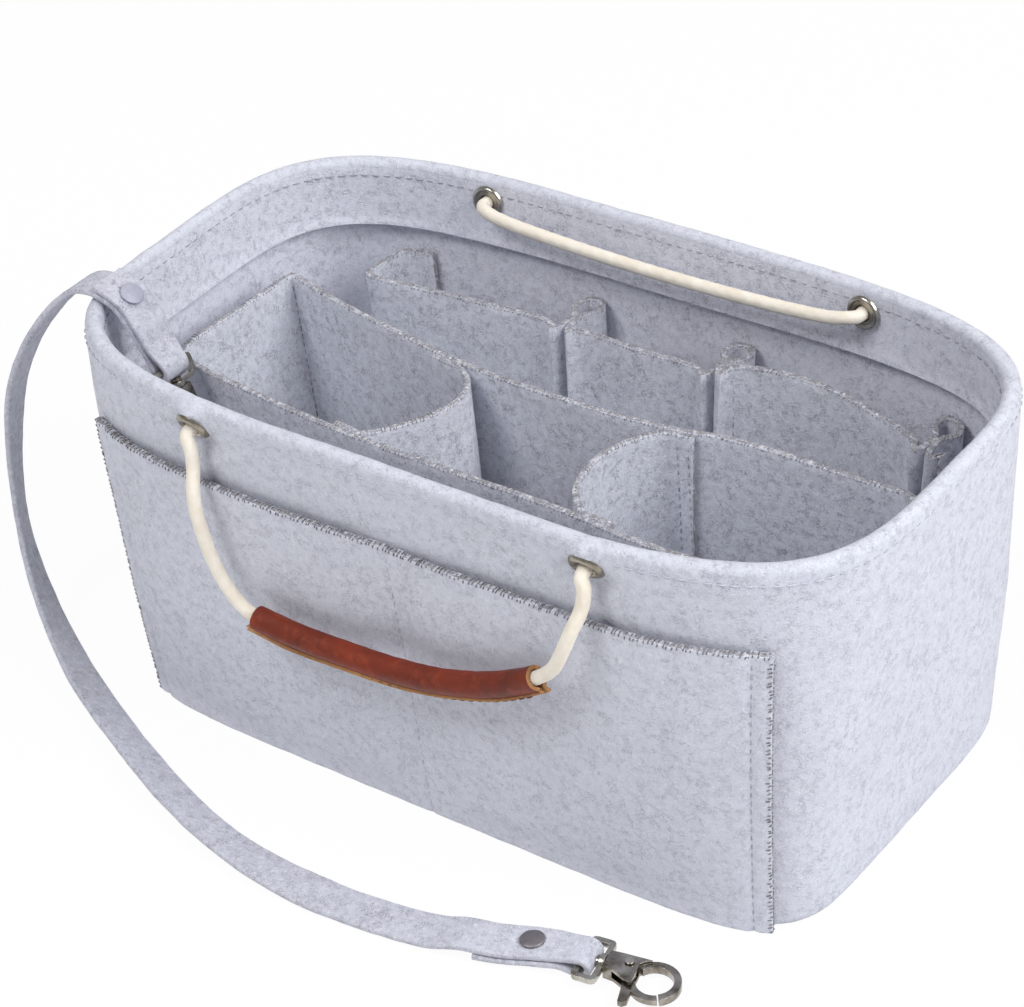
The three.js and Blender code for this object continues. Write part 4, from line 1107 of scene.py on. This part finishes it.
# %% Inner box
BOX_SHARES = [
    (-0.845, -0.385), (-0.63, -0.44), (-0.49, -0.465), (-0.31, -0.49), (0, -0.495),
    (0.265, -0.5), (0.41, -0.525), (0.577, -0.515), (0.7, -0.475), (0.84, -0.4),
    (0.885, -0.335), (0.9, -0.2), (0.9, 0.05), (0.885, 0.2), (0.865, 0.255),
    (0.83, 0.265), (0.72, 0.26), (0.572, 0.262), (0.395, 0.245), (0.3, 0.205), (0.152, 0.174),
    (0, 0.162), (-0.164, 0.165), (-0.338, 0.19), (-0.5, 0.24), (-0.708, 0.314), (-0.84, 0.38),
    (-0.872, 0.396), (-0.888, 0.398), (-0.891, 0.376), (-0.9, 0.06), (-0.908, -0.25),
    (-0.895, -0.345)]


def box_plan(z):
    return in_plan(BOX_SHARES, z)


box, box_edge = standing_panel("inner_box_felt", box_plan, BOX_TOP, 380, 0.35, 4, joined=True)
stands_for(box, (lining_felt, raw_edge), "inner_box")


def box_y(x, z, back):
    """Where the box's front or back panel lies at a place along the length."""
    line = smooth_line(box_plan(z), PLAN_SPAN, True)
    side = line[line[:, 1] > 0] if back else line[line[:, 1] < 0]
    side = side[np.abs(side[:, 0]) < 0.8 * RIM[0]]
    side = side[np.argsort(side[:, 0])]
    return float(np.interp(x, side[:, 0], side[:, 1]))


# %% Dividers
SEAT_GAP = 0.5
LEFT_DIVIDER = ((-0.375, -0.335, -0.295),
                ((-0.25, 0.1), (-0.222, 0.02), (-0.212, -0.08), (-0.225, -0.2), (-0.262, -0.33)),
                (-0.32, -0.36, -0.4))
RIGHT_DIVIDER = ((0.335, 0.3, 0.27),
                 ((0.225, 0.06), (0.203, -0.03), (0.194, -0.13), (0.2, -0.25), (0.222, -0.36)),
                 (0.285, 0.325, 0.365))


def divider_plan(divider):
    back, bow, front = divider

    def plan(z):
        half_x = body_at(z, INNER_FACE)[0]
        seat = LINING_FELT + SEAT_GAP
        points = [(share * half_x, box_y(share * half_x, z, True) - seat) for share in back]
        points += [tuple(place) for place in in_plan(bow, z)]
        points += [(share * half_x, box_y(share * half_x, z, False) + seat) for share in front]
        return points
    return plan


divider_edges = {}
for side, divider, seed in (("left", LEFT_DIVIDER, 5), ("right", RIGHT_DIVIDER, 6)):
    piece, edge = standing_panel(side + "_divider_felt", divider_plan(divider), BOX_TOP, 90,
                                 0.25, seed)
    stands_for(piece, (lining_felt, raw_edge), "divider_" + side)
    divider_edges[side] = edge

# %% [markdown]
# ## Pocket strip
# One strip of felt makes three pockets and three pen loops on the back wall. Between pockets it
# turns in to the wall, opens into a small round loop and comes back, so each loop stands between
# two close layers of felt.

# %% Pocket strip
STRIP_TOP = 104.0
POCKET_REACH = 21.0
BOWED_REACH = 14.0
LOOP_WIDTH = 9.0
LOOP_NECK = 2.9
LOOP_SHARES = (-0.218, 0.2, 0.77)
RIDGE = 2.4
WALL_SEAT = SEAT_GAP + LINING_FELT / 2


def pen_loop(centre):
    neck, wide, back = LOOP_NECK / 2, LOOP_WIDTH / 2, WALL_SEAT
    half = [(-neck, -POCKET_REACH + LINING_FELT / 2), (-neck, -POCKET_REACH + 9),
            (-wide, -back - wide - LINING_FELT), (-wide + LOOP_NECK / 2, -back - LINING_FELT / 2)]
    return ([(centre + x, reach) for x, reach in half] + [(centre, -back)]
            + [(centre - x, reach) for x, reach in half[::-1]])


def strip_plan(z):
    half_x = body_at(z, INNER_FACE)[0]
    left, right = -0.765 * half_x, 0.81 * half_x
    first, second, third = (share * half_x for share in LOOP_SHARES)
    lip = LOOP_NECK + LINING_FELT + 0.8
    front, set_back = -POCKET_REACH, -POCKET_REACH + LINING_FELT

    def ridged_loop(centre):
        """A pen loop between the two ridges where the pockets turn in to it."""
        out = lip - RIDGE
        return [(centre - out, front - RIDGE), *pen_loop(centre), (centre + out, front - RIDGE)]

    def between(share):
        return second + (third - second) * share

    places = [
        (left + 9 + LINING_FELT, -WALL_SEAT), (left + LINING_FELT, -WALL_SEAT),
        (left, -WALL_SEAT - LINING_FELT), (left - LINING_FELT, set_back),
        (left, front), ((left + first) / 2, front - LINING_FELT / 2),
        (first - lip, front), *ridged_loop(first), (first + lip, front),
        ((first + second) / 2, front), (second - lip, front),
        *ridged_loop(second), (second + lip, set_back),
        (between(0.3), -BOWED_REACH - LINING_FELT / 2), (between(0.55), -BOWED_REACH),
        (between(0.8), -BOWED_REACH - LINING_FELT), (third - lip, set_back),
        *ridged_loop(third), (third + lip, set_back), (right, front)]
    return [(x, float(wall_y(x, z, INNER_FACE)) + reach) for x, reach in places]


RISE, RISE_FROM, RISE_SPAN = 4, 0.62, 0.18


def strip_rise(shares):
    """The last pocket's top edge bows up a little."""
    across = (shares - RISE_FROM) / RISE_SPAN
    return np.where((across > 0) & (across < 1), RISE * np.sin(np.pi * np.clip(across, 0, 1)), 0)


strip, strip_edge = standing_panel("pocket_strip_felt", strip_plan, STRIP_TOP, 420, 0.2, 7,
                                   rise=strip_rise)
stands_for(strip, (lining_felt, raw_edge), "back_pocket_strip")

# %% [markdown]
# ## Front pocket
# The wide pocket is sewn to the wall at its sides, its foot and down its middle. Between the seams
# the felt stands off the wall, most above the middle of its height. Two short tables give this
# swelling along the width and up the height, and each seam presses a narrow groove.

# %% Front pocket
POCKET_FELT = 2.5
POCKET_TOP = 111.0
POCKET_FOOT_WIDTH, POCKET_TOP_WIDTH = 239, 250
POCKET_BULGE = 3.0
POCKET_GAP = 0.45
RIGHT_EXTRA = 4
SEAM_GROOVES = ((-0.958, 0.9), (0, 0.4), (0.958, 0.9))
SEAM_WIDTH = 1.1
HALF_BULGE = smooth_line([(0, 0), (0.025, 0), (0.1, 0.5), (0.25, 0.9), (0.45, 1), (0.65, 0.95),
                          (0.78, 0.72), (0.87, 0.35), (0.93, 0.08), (0.965, 0), (1, 0)], 8)
RISE_BULGE = smooth_line([(0, 0), (0.04, 0), (0.14, 0.5), (0.4, 0.95), (0.65, 1),
                          (0.85, 0.75), (1, 0.35)], 8)


def pocket_place(across, up, lift=POCKET_FELT / 2):
    share = across * 2 - 1
    z = POCKET_TOP * up
    width = POCKET_FOOT_WIDTH + (POCKET_TOP_WIDTH - POCKET_FOOT_WIDTH) * up
    x = share * width / 2 + RIGHT_EXTRA * np.maximum(share, 0)
    bulge = np.interp(np.abs(share), HALF_BULGE[:, 0], HALF_BULGE[:, 1])
    swell = np.interp(up, RISE_BULGE[:, 0], RISE_BULGE[:, 1])
    places = np.empty((len(x), 3))
    for height in np.unique(z):
        row = z == height
        normal = wall_normal(x[row], height)
        wall_at = wall_y(x[row], height)
        level_rows = np.full(row.sum(), height)
        swayed = sway(x[row], -wall_at, level_rows)
        seams = sum(deep * np.exp(-((share[row] - seam) * (POCKET_TOP_WIDTH / 2) / SEAM_WIDTH) ** 2)
                    for seam, deep in SEAM_GROOVES)
        off = POCKET_GAP + POCKET_BULGE * bulge[row] * swell[row] + lift + swayed - seams
        places[row] = np.column_stack([x[row] + normal[:, 0] * off,
                                       -(wall_at + normal[:, 1] * off), level_rows])
    places[:, 2] = np.maximum(places[:, 2], 0.1)
    return places


pocket = bent_grid("front_pocket_felt", 300, 64, pocket_place, (POCKET_TOP_WIDTH, POCKET_TOP))
thicken(pocket, POCKET_FELT, finishes=(wall_felt, raw_edge))
ruffle(pocket, 0.16, 6, 9)
stand_on_table(pocket)
smooth_faces(pocket)
stands_for(pocket, (wall_felt, raw_edge), "front_pocket_panel")

# %% [markdown]
# ## Stitches
# One stitch is modelled as a short rod with rounded ends. Each copy is then bent along five points:
# a running stitch rises out of the felt and dives back, and a binding stitch goes up one face, over
# the cut edge and down the other. All stitches of one thread on one part are one piece.

# %% One stitch
bpy.ops.object.select_all(action="DESELECT")
bpy.ops.mesh.primitive_cylinder_add(vertices=5, radius=1, depth=4)
stitch = bpy.context.object
in_edit_mode(stitch, lambda: bpy.ops.mesh.select_all(action="DESELECT"))
for edge in stitch.data.edges:
    ends = [stitch.data.vertices[index].co.z for index in edge.vertices]
    edge.select = abs(ends[0] - ends[1]) > 3
bpy.ops.object.mode_set(mode="EDIT")
bpy.ops.mesh.subdivide(number_cuts=3)
bpy.ops.object.mode_set(mode="OBJECT")
stitch_points = vertices_of(stitch)
stitch_ring = np.rint(stitch_points[:, 2] + 2).astype(int)
stitch_angle = np.arctan2(stitch_points[:, 1], stitch_points[:, 0])
stitch_faces = [tuple(face.vertices) for face in stitch.data.polygons]
STITCH_WIDTHS = np.array((0.45, 0.95, 1.0, 0.95, 0.45))
bpy.data.objects.remove(stitch)
print("a stitch has", len(stitch_faces), "faces")


def lay_stitches(name, finish, rows, thread, body="organizer"):
    """rows holds five centre points for each stitch, in millimetres."""
    rows = np.asarray(rows)
    heading = unit(np.gradient(rows, axis=1))
    chord = unit(rows[:, -1] - rows[:, 0])
    hump = unit(rows[:, 2] - (rows[:, 0] + rows[:, -1]) / 2)
    side = unit(np.cross(chord, hump))[:, None, :] * np.ones((1, 5, 1))
    lift = np.cross(side, heading)
    radius = (thread / 2 * STITCH_WIDTHS[stitch_ring])[None, :, None]
    cos, sin = (wave(stitch_angle)[None, :, None] for wave in (np.cos, np.sin))
    points = rows[:, stitch_ring] + radius * (
        cos * side[:, stitch_ring] + sin * lift[:, stitch_ring])
    count = points.shape[1]
    faces = [tuple(index + copy * count for index in face)
             for copy in range(len(rows)) for face in stitch_faces]
    mesh = bpy.data.meshes.new(name)
    mesh.from_pydata((points.reshape(-1, 3) * MM).tolist(), [], faces)
    piece = object_of(name, mesh)
    in_edit_mode(piece, face_outwards)
    piece.data.shade_smooth()
    stands_for(piece, finish, body=body)

# %% Stitch rows
# A binding stitch's points: how far along its slant, how far off the face, how far below the edge.
WRAP = ((0, 0.02, 1.0), (0.3, 0.2, 0.45), (0.5, 0, -0.1), (0.7, -0.2, 0.45), (1, -0.02, 1.0))
# A running stitch's points: how far along it, how high above the face.
HOP = ((0, -0.3), (0.22, 0.1), (0.5, 0.16), (0.78, 0.1), (1, -0.3))


def everywhere(direction, line):
    return np.tile(direction, (len(line), 1))


def binding_rows(edge, faces, beyond, felt, pitch, reach, slant=0.9):
    """Five points for each stitch that wraps a cut edge."""
    travelled = distances_along(edge)
    start = np.arange(pitch / 2, travelled[-1] - pitch, pitch)
    start = start + chance.uniform(-0.28, 0.28, len(start)) * pitch
    reach = reach * chance.uniform(0.55, 1.2, len(start))[:, None]
    slant = slant * chance.uniform(0.2, 1.6, len(start))
    rows = []
    face = unit(at_distances(faces, travelled, start))
    off = unit(at_distances(beyond, travelled, start))
    for step, out, down in WRAP:
        spot = at_distances(edge, travelled, start + step * slant)
        sign = 1 if step < 0.5 else -1
        depth = 0 if step == 0.5 else felt / 2
        rows.append(spot + face * (sign * depth + out) - off * down * reach)
    return np.stack(rows, axis=1)


def running_rows(line, faces, lift, length, gap):
    """Five points for each running stitch on a surface."""
    travelled = distances_along(line)
    start = np.arange(0, travelled[-1] - length, length + gap)
    face = unit(at_distances(faces, travelled, start))
    return np.stack([at_distances(line, travelled, start + step * length) + face * (lift + height)
                     for step, height in HOP], axis=1)


def plan_normals(line):
    heading = unit(np.gradient(line, axis=0))
    return unit(np.column_stack([heading[:, 1], -heading[:, 0], np.zeros(len(line))]))


# %% Panel stitches
panel_rows = [binding_rows(edge, plan_normals(edge), everywhere(upwards, edge),
                           LINING_FELT, 1.5, reach=1.0)
              for edge in (box_edge, divider_edges["left"], divider_edges["right"], strip_edge)]
SEAM_BELOW = 3
DIVIDER_SEAMS = (1.6, 5.2)
LOOP_SEAM = 7.6
BOX_CORNER, CORNER_OUT = (-0.891, 0.398), (1.25, -1.25)
seam_heights = np.linspace(8, BOX_TOP - SEAM_BELOW, 120)


def upright_rows(places):
    """A vertical row of running stitches on a face that looks forwards."""
    places = np.array(places)
    return running_rows(places, everywhere((0, -1, 0), places), LINING_FELT / 2, 2.2, 1.0)


for inset in DIVIDER_SEAMS:
    x = RIGHT_DIVIDER[0][0] * body_at(BOX_TOP, INNER_FACE)[0] - inset
    panel_rows.append(upright_rows(
        [(x, box_y(x, z, True) - LINING_FELT - SEAT_GAP, z) for z in seam_heights]))
for loop in LOOP_SHARES:
    x = loop * body_at(STRIP_TOP, INNER_FACE)[0] + LOOP_SEAM
    panel_rows.append(upright_rows(
        [(x, float(wall_y(x, z, INNER_FACE)) - POCKET_REACH + LINING_FELT * 0.4, z)
         for z in np.linspace(6, STRIP_TOP - SEAM_BELOW, 110)]))
# Painted shade: a flat row of running stitches down the inside of the box's back left corner, laid
# there to darken the crease into a crisp line.
corner = np.array([(*in_plan(BOX_CORNER, z) + CORNER_OUT, z) for z in seam_heights])
panel_rows.append(running_rows(corner, everywhere((0.7, -0.7, 0), corner), 0, 2.6, 0.5))
lay_stitches("panel_edge_stitches", lining_thread, np.vstack(panel_rows), 0.4)

# %% Pocket stitches
shares = np.linspace(0, 1, 260)
ones = np.ones(len(shares))


def pocket_faces(across, up):
    here = pocket_place(across, up)
    normals = pocket_place(across, up, POCKET_FELT / 2 + 1) - here
    return here, unit(normals)


top_edge, top_face = pocket_faces(shares, ones)
left_edge, left_face = pocket_faces(ones * 0, shares)
right_edge, right_face = pocket_faces(ones, shares)
pocket_rows = [binding_rows(top_edge, top_face, everywhere(upwards, top_edge),
                            POCKET_FELT, 1.5, 1.3)]
for edge, face, out in ((left_edge, left_face, -1), (right_edge, right_face, 1)):
    sideways = unit(np.cross(everywhere(upwards, face), face))
    beyond = sideways * np.sign(sideways[:, :1]) * out
    pocket_rows.append(binding_rows(edge, face, beyond, POCKET_FELT, 1.6, 1.7, 1.2))
lay_stitches("pocket_edge_stitches", edge_thread, np.vstack(pocket_rows), 0.5)

seam_rows = []
for across in (0.5, 0.021, 0.979):
    line, face = pocket_faces(ones * across, shares * 0.985)
    seam_rows.append(running_rows(line, face, POCKET_FELT / 2, 2.6, 0.9))
lay_stitches("pocket_middle_stitches", pale_thread, seam_rows[0], 0.4)
lay_stitches("pocket_side_stitches", seam_thread, np.vstack(seam_rows[1:]), 0.45)

# %% Rim topstitch
TOPSTITCH_BELOW = 5.5
for face, inset, inwards, thread in (("outside", 0, 1, pale_thread),
                                     ("inside", STACK, -1, seam_thread)):
    line = swayed_ring(HEIGHT - TOPSTITCH_BELOW, inset, np.linspace(0, 1, 900))
    lay_stitches("rim_topstitch_" + face, thread,
                 running_rows(line, plan_normals(line) * inwards, 0.0, 2.9, 1.1), 0.42)

# %% [markdown]
# ## Leather grips
# A grip is a strip of leather folded over the rope, its two edges sewn together below. In section
# it is a keyhole: a round sleeve and two flat layers. The sheet is bent from a grid along the rope
# and gets its thickness afterwards. The layers wave a little and grow narrower towards one end, as
# a strip cut by hand does, and at the ends they are pulled askew. Faces on the fold's outside take
# the smooth leather, and the cut edges and the inside stay raw.

# %% Grips
LEATHER = 1.4
GRIP_DROP = 11.2
LAYERS_APART = 0.15
SEWN_BELOW = 5.0


def grip_frames(side, count, first=0.0, last=1.0):
    """The rope's middle in the grip, its heading and the way up, and the way outwards."""
    outwards = np.array((0, -1.0 if side == "front" else 1.0, 0))
    sleeve = smooth_line(route_of(side)[GRIP_FIRST:GRIP_LAST + 1], 12)
    centres = along_line(sleeve, np.linspace(first, last, count))
    heading = unit(np.gradient(centres, axis=0))
    ups = unit(np.cross(everywhere(outwards, centres), heading))
    return centres, heading, ups * np.sign(ups[:, 2:3]), outwards, line_length(sleeve)


def leather_grip(side):
    rows = 90
    centres, heading, ups, outwards, length = grip_frames(side, rows + 1)
    radius = ROPE / 2 + 0.35 + LEATHER / 2
    half = LAYERS_APART + LEATHER / 2
    bottom = ROPE / 2 + 0.3 + LEATHER - GRIP_DROP
    folds = np.radians(np.linspace(-42, 222, 19))
    section = np.array(
        [(half + 0.5, bottom + 1.5), (half + 0.2, bottom + 2.7)]
        + [(half, share) for share in np.linspace(bottom + 3.3, -radius - 1.4, 5)]
        + [(half + 0.25, -radius - 0.5)]
        + [(radius * math.cos(fold), radius * math.sin(fold)) for fold in folds]
        + [(-half - 0.25, -radius - 0.5)]
        + [(-half, share) for share in np.linspace(-radius - 1.4, bottom, 7)])
    columns = len(section) - 1

    def place(across, up):
        column = np.rint(across * columns).astype(int)
        row = np.rint(up * rows).astype(int)
        drape = 0.5 * np.sin(up * 9.0) + 0.3 * np.sin(up * 23.0 + 1)
        low = np.clip((-radius - section[column, 1]) / 7, 0, 1)
        side_by = section[column, 0] * (1 + 0.1 * low) + low * drape * 0.5
        narrow = np.interp(up, (0, 0.1, 0.35, 0.55, 0.8, 1), (0.8, 1, 1, 0.88, 0.68, 0.6))
        depth = section[column, 1]
        edge = (np.where(depth < -radius, -radius + (depth + radius) * narrow, depth)
                - low * 0.35 * np.sin(up * 17.0))
        skew = (up - 0.5) * 2
        slide = (low * np.sign(skew) * np.maximum(np.abs(skew) - 0.82, 0)
                 * np.where(skew < 0, 52, 14))
        return (centres[row] + heading[row] * slide[:, None] + outwards * side_by[:, None]
                + ups[row] * edge[:, None])

    piece = bent_grid(side + "_grip_leather", columns, rows, place, (34, length))
    in_edit_mode(piece, face_outwards)
    for face in piece.data.polygons:
        if max(index % (columns + 1) for index in face.vertices) <= 1:
            face.material_index = 1
    thicken(piece, LEATHER, 0.22, (leather_face, leather_raw), inner_slot=1, even=False)
    ruffle(piece, 0.12, 4, 12)
    smooth_faces(piece)
    return piece


for side in ("front", "back"):
    node = side + "_leather_grip"
    grip = leather_grip(side)
    stands_for(grip, (leather_face, leather_raw), node)
    centres, _, ups, outwards, _ = grip_frames(side, 200, 0.02, 0.98)
    sewn = centres - ups * SEWN_BELOW
    rows = np.vstack([running_rows(sewn + outwards * face * (LAYERS_APART + LEATHER),
                                   everywhere(outwards * face, sewn), 0.0, 2.6, 1.0)
                      for face in (1, -1)])
    lay_stitches(side + "_grip_stitches", brown_thread, rows, 0.45, body_of[node])

# %% [markdown]
# ## Turned metal
# Eyelets and rivets are round, so each is a profile spun about its axis in edit mode. The profile
# is drawn in the plane of X and Z, closed where the part is a ring, and every part is spun at the
# world's middle before its points are moved to their place.

# %% Turning helper
def turned(name, profile, steps=40):
    """Spins a closed profile of (radius, height) about Z."""
    mesh = bpy.data.meshes.new(name)
    points = [(radius * MM, 0, height * MM) for radius, height in profile]
    edges = [(index, (index + 1) % len(points)) for index in range(len(points))]
    mesh.from_pydata(points, edges, [])
    piece = object_of(name, mesh)
    in_edit_mode(
        piece,
        lambda: bpy.ops.mesh.spin(steps=steps, angle=2 * math.pi, center=(0, 0, 0), axis=(0, 0, 1)),
        lambda: bpy.ops.mesh.select_all(action="SELECT"),
        lambda: bpy.ops.mesh.remove_doubles(threshold=1e-6),
        face_outwards)
    smooth_faces(piece, 38)
    return piece


def set_on_axis(piece, centre, axis):
    piece.data.transform(Matrix.Translation(Vector(centre) * MM) @ turned_to(axis))


def arc(centre, radius, start, end, count):
    """Points of a profile's rounded edge, from one angle in degrees to another."""
    turns = [math.radians(turn) for turn in np.linspace(start, end, count)]
    return [(centre[0] + radius * math.cos(turn), centre[1] + radius * math.sin(turn))
            for turn in turns]


# %% Eyelets
tail = -(STACK + 1.1)
barrel_profile = (
    [(3.0, tail), (3.0, 0.4)] + arc((4.55, 0.45), 1.25, 170, 20, 9) + [(5.95, 0.55), (6.0, 0.3)]
    + [(5.6, 0.18), (3.5, 0.18), (3.5, tail + 0.6), (4.4, tail + 0.35), (4.4, tail)])
washer_profile = (
    [(3.85, -STACK - 0.28), (5.6, -STACK - 0.28), (6.0, -STACK - 0.5)]
    + arc((5.0, -STACK - 0.75), 0.85, -25, -160, 7) + [(3.85, -STACK - 0.9)])
for (end, side), (centre, axis) in eyelets.items():
    for profile, suffix in ((barrel_profile, "_eyelet"), (washer_profile, "_eyelet_washer")):
        node = side + "_" + end + suffix
        piece = turned(node + "_turned", profile)
        set_on_axis(piece, centre, axis)
        stands_for(piece, nickel if suffix == "_eyelet_washer" else old_nickel, node)

# %% Rivets
def rivet_place(distance, cap_on_face):
    """Middle of the two layers of a folded end, and the way that the cap looks."""
    place, _, face = strap_at(distance)
    centre = place + face * (STRAP_FELT + LAYER_GAP) / 2
    return centre, face if cap_on_face else -face


layers = 2 * STRAP_FELT + LAYER_GAP
cap_face = layers / 2 + 0.3
cap_profile = ([(1.4, 0), (1.9, 0), (1.9, cap_face), (3.7, cap_face)]
               + arc((3.65, cap_face + 0.4), 0.38, -60, 80, 5)
               + [(radius, cap_face + height) for radius, height in (
                   (3.0, 0.98), (2.0, 1.15), (1.0, 1.2), (0.001, 1.2), (0.001, 0.4), (1.4, 0.4))])
post_profile = ([(0.001, -cap_face - 0.55)] + arc((2.95, -cap_face - 0.3), 0.25, -90, 90, 5)
                + [(1.1, -cap_face + 0.05), (1.1, layers / 2), (0.001, layers / 2)])
for end, distance, on_face in (("inner", 25, True), ("outer", strap_length - 17, False)):
    centre, axis = rivet_place(distance, on_face)
    for profile, suffix in ((cap_profile, "_rivet_cap"), (post_profile, "_rivet_post")):
        piece = turned(end + suffix + "_turned", profile, 32)
        set_on_axis(piece, centre, axis)
        stands_for(piece, painted_rivet if end == "inner" else rivet_metal, end + suffix)

# %% [markdown]
# ## Clasps
# A swivel clasp is cast in two parts: a body with a hook, and a sprung gate with a thumb lever.
# The frame's clasps already have every part in its place, but with sharp edges. Each part is
# copied, its loose triangles are merged and joined into flat faces, and the Bevel modifier then
# rounds the edges as casting and tumbling do.

# %% Rounded castings
def rounded_casting(node, name, width, finish, slot_name, angle=32):
    mesh = frame["nodes"][node].data.copy()
    mesh.name = name
    piece = object_of(name, mesh)
    in_edit_mode(
        piece,
        lambda: bpy.ops.mesh.remove_doubles(threshold=2e-6),
        lambda: bpy.ops.mesh.dissolve_limited(angle_limit=math.radians(1.5)),
        face_outwards)
    round_edges(piece, width, 3, angle)
    smooth_faces(piece, 42)
    stands_for(piece, finish, node)
    return piece


CLASP_PARTS = (("eye", "_cast", 0.55, nickel, "nickel"),
               ("hook", "_cast", 0.75, gunmetal, "dark_nickel"),
               ("gate", "_cast", 0.45, gunmetal, "dark_nickel"),
               ("pin", "_turned", 0.15, nickel, "nickel"),
               ("spring", "_wound", 0.12, spring_steel, "spring_steel"))
clasp_pieces = {}
for end in ("outer", "inner"):
    clasp_pieces[end] = []
    for part, made, width, finish, slot_name in CLASP_PARTS:
        node = end + "_clasp_" + part
        clasp_pieces[end].append(rounded_casting(node, node + made, width, finish, slot_name))
rounded_casting("d_ring", "d_ring_bent", 0.05, nickel, "nickel", angle=80)
rounded_casting("d_ring_tab", "d_ring_tab_felt", 0.35, lining_felt, "lining_felt", angle=50)

# %% [markdown]
# ## What the cords are
# The handles' ropes and the lanyard are free cords. Here only their lengths and their middle lines
# in metres are worked out.

def in_metres(line, count):
    return (along_line(line, np.linspace(0, 1, count)) * MM).tolist()


for side in ("front", "back"):
    line = handle_lines[side]
    line_length(line) * MM
    in_metres(line, 200)
    line = inner_lines[side]
    line_length(line) * MM
    in_metres(line, 160)
in_metres(strap_middle, 140)
print("five cords")

# %% [markdown]
# ## Floor and light
# The insert stands on a plain white table. The floor is white to the camera and in reflections, and
# it still takes the soft shadow. A large soft lamp from the right makes the right side the
# brightest, and one from high in front lights the front and the inside of the back wall.

# %% Floor
GLOW, GLOW_SEEN = 0.35, 0.6
bpy.ops.object.select_all(action="DESELECT")
bpy.ops.mesh.primitive_plane_add(size=12)
floor = bpy.context.object
floor.name = "floor"
white = bpy.data.materials.new("white table")
white.use_nodes = True
white.node_tree.nodes.clear()
paper = add_node(white, "BsdfDiffuse", {"Color": (0.86, 0.86, 0.87, 1)})
glow = add_node(white, "Emission", {"Color": (1, 1, 1, 1), "Strength": 1.0})
rays = add_node(white, "LightPath").outputs
mirrored = maths(white, "MAXIMUM", rays["Is Glossy Ray"], rays["Is Transmission Ray"])
seen = maths(white, "MAXIMUM", rays["Is Camera Ray"], mirrored)
share = plus(white, times(white, seen, GLOW_SEEN), GLOW)
mixed = add_node(white, "MixShader", {0: share, 1: paper.outputs[0], 2: glow.outputs[0]})
add_node(white, "OutputMaterial", {"Surface": mixed.outputs[0]})
floor.data.materials.append(white)

# %% World and lamps
SKY_LIGHT = 0.32
world = bpy.data.worlds.new("studio")
bpy.context.scene.world = world
world.use_nodes = True
rays = add_node(world, "LightPath").outputs
seen = maths(world, "MAXIMUM", rays["Is Camera Ray"], rays["Is Transmission Ray"])
set_inputs(world, world.node_tree.nodes["Background"], {
    "Color": (1, 1, 1, 1), "Strength": spread_over(world, seen, SKY_LIGHT, 1.0)})
aim = Vector((0, 0, 0.06))


def soft_lamp(name, place, size, power):
    bpy.ops.object.select_all(action="DESELECT")
    bpy.ops.object.light_add(type="AREA", location=place)
    lamp = bpy.context.object
    lamp.name = name
    lamp.data.shape = "DISK"
    lamp.data.size = size
    lamp.data.energy = power
    lamp.rotation_euler = (aim - Vector(place)).to_track_quat("-Z", "Y").to_euler()


soft_lamp("key", (1.6, 0.1, 1.5), 1.7, 40)
soft_lamp("front", (-0.5, -1.1, 1.9), 0.9, 22)
bpy.context.scene.view_settings.view_transform = "Standard"
print("two lamps and the sky")
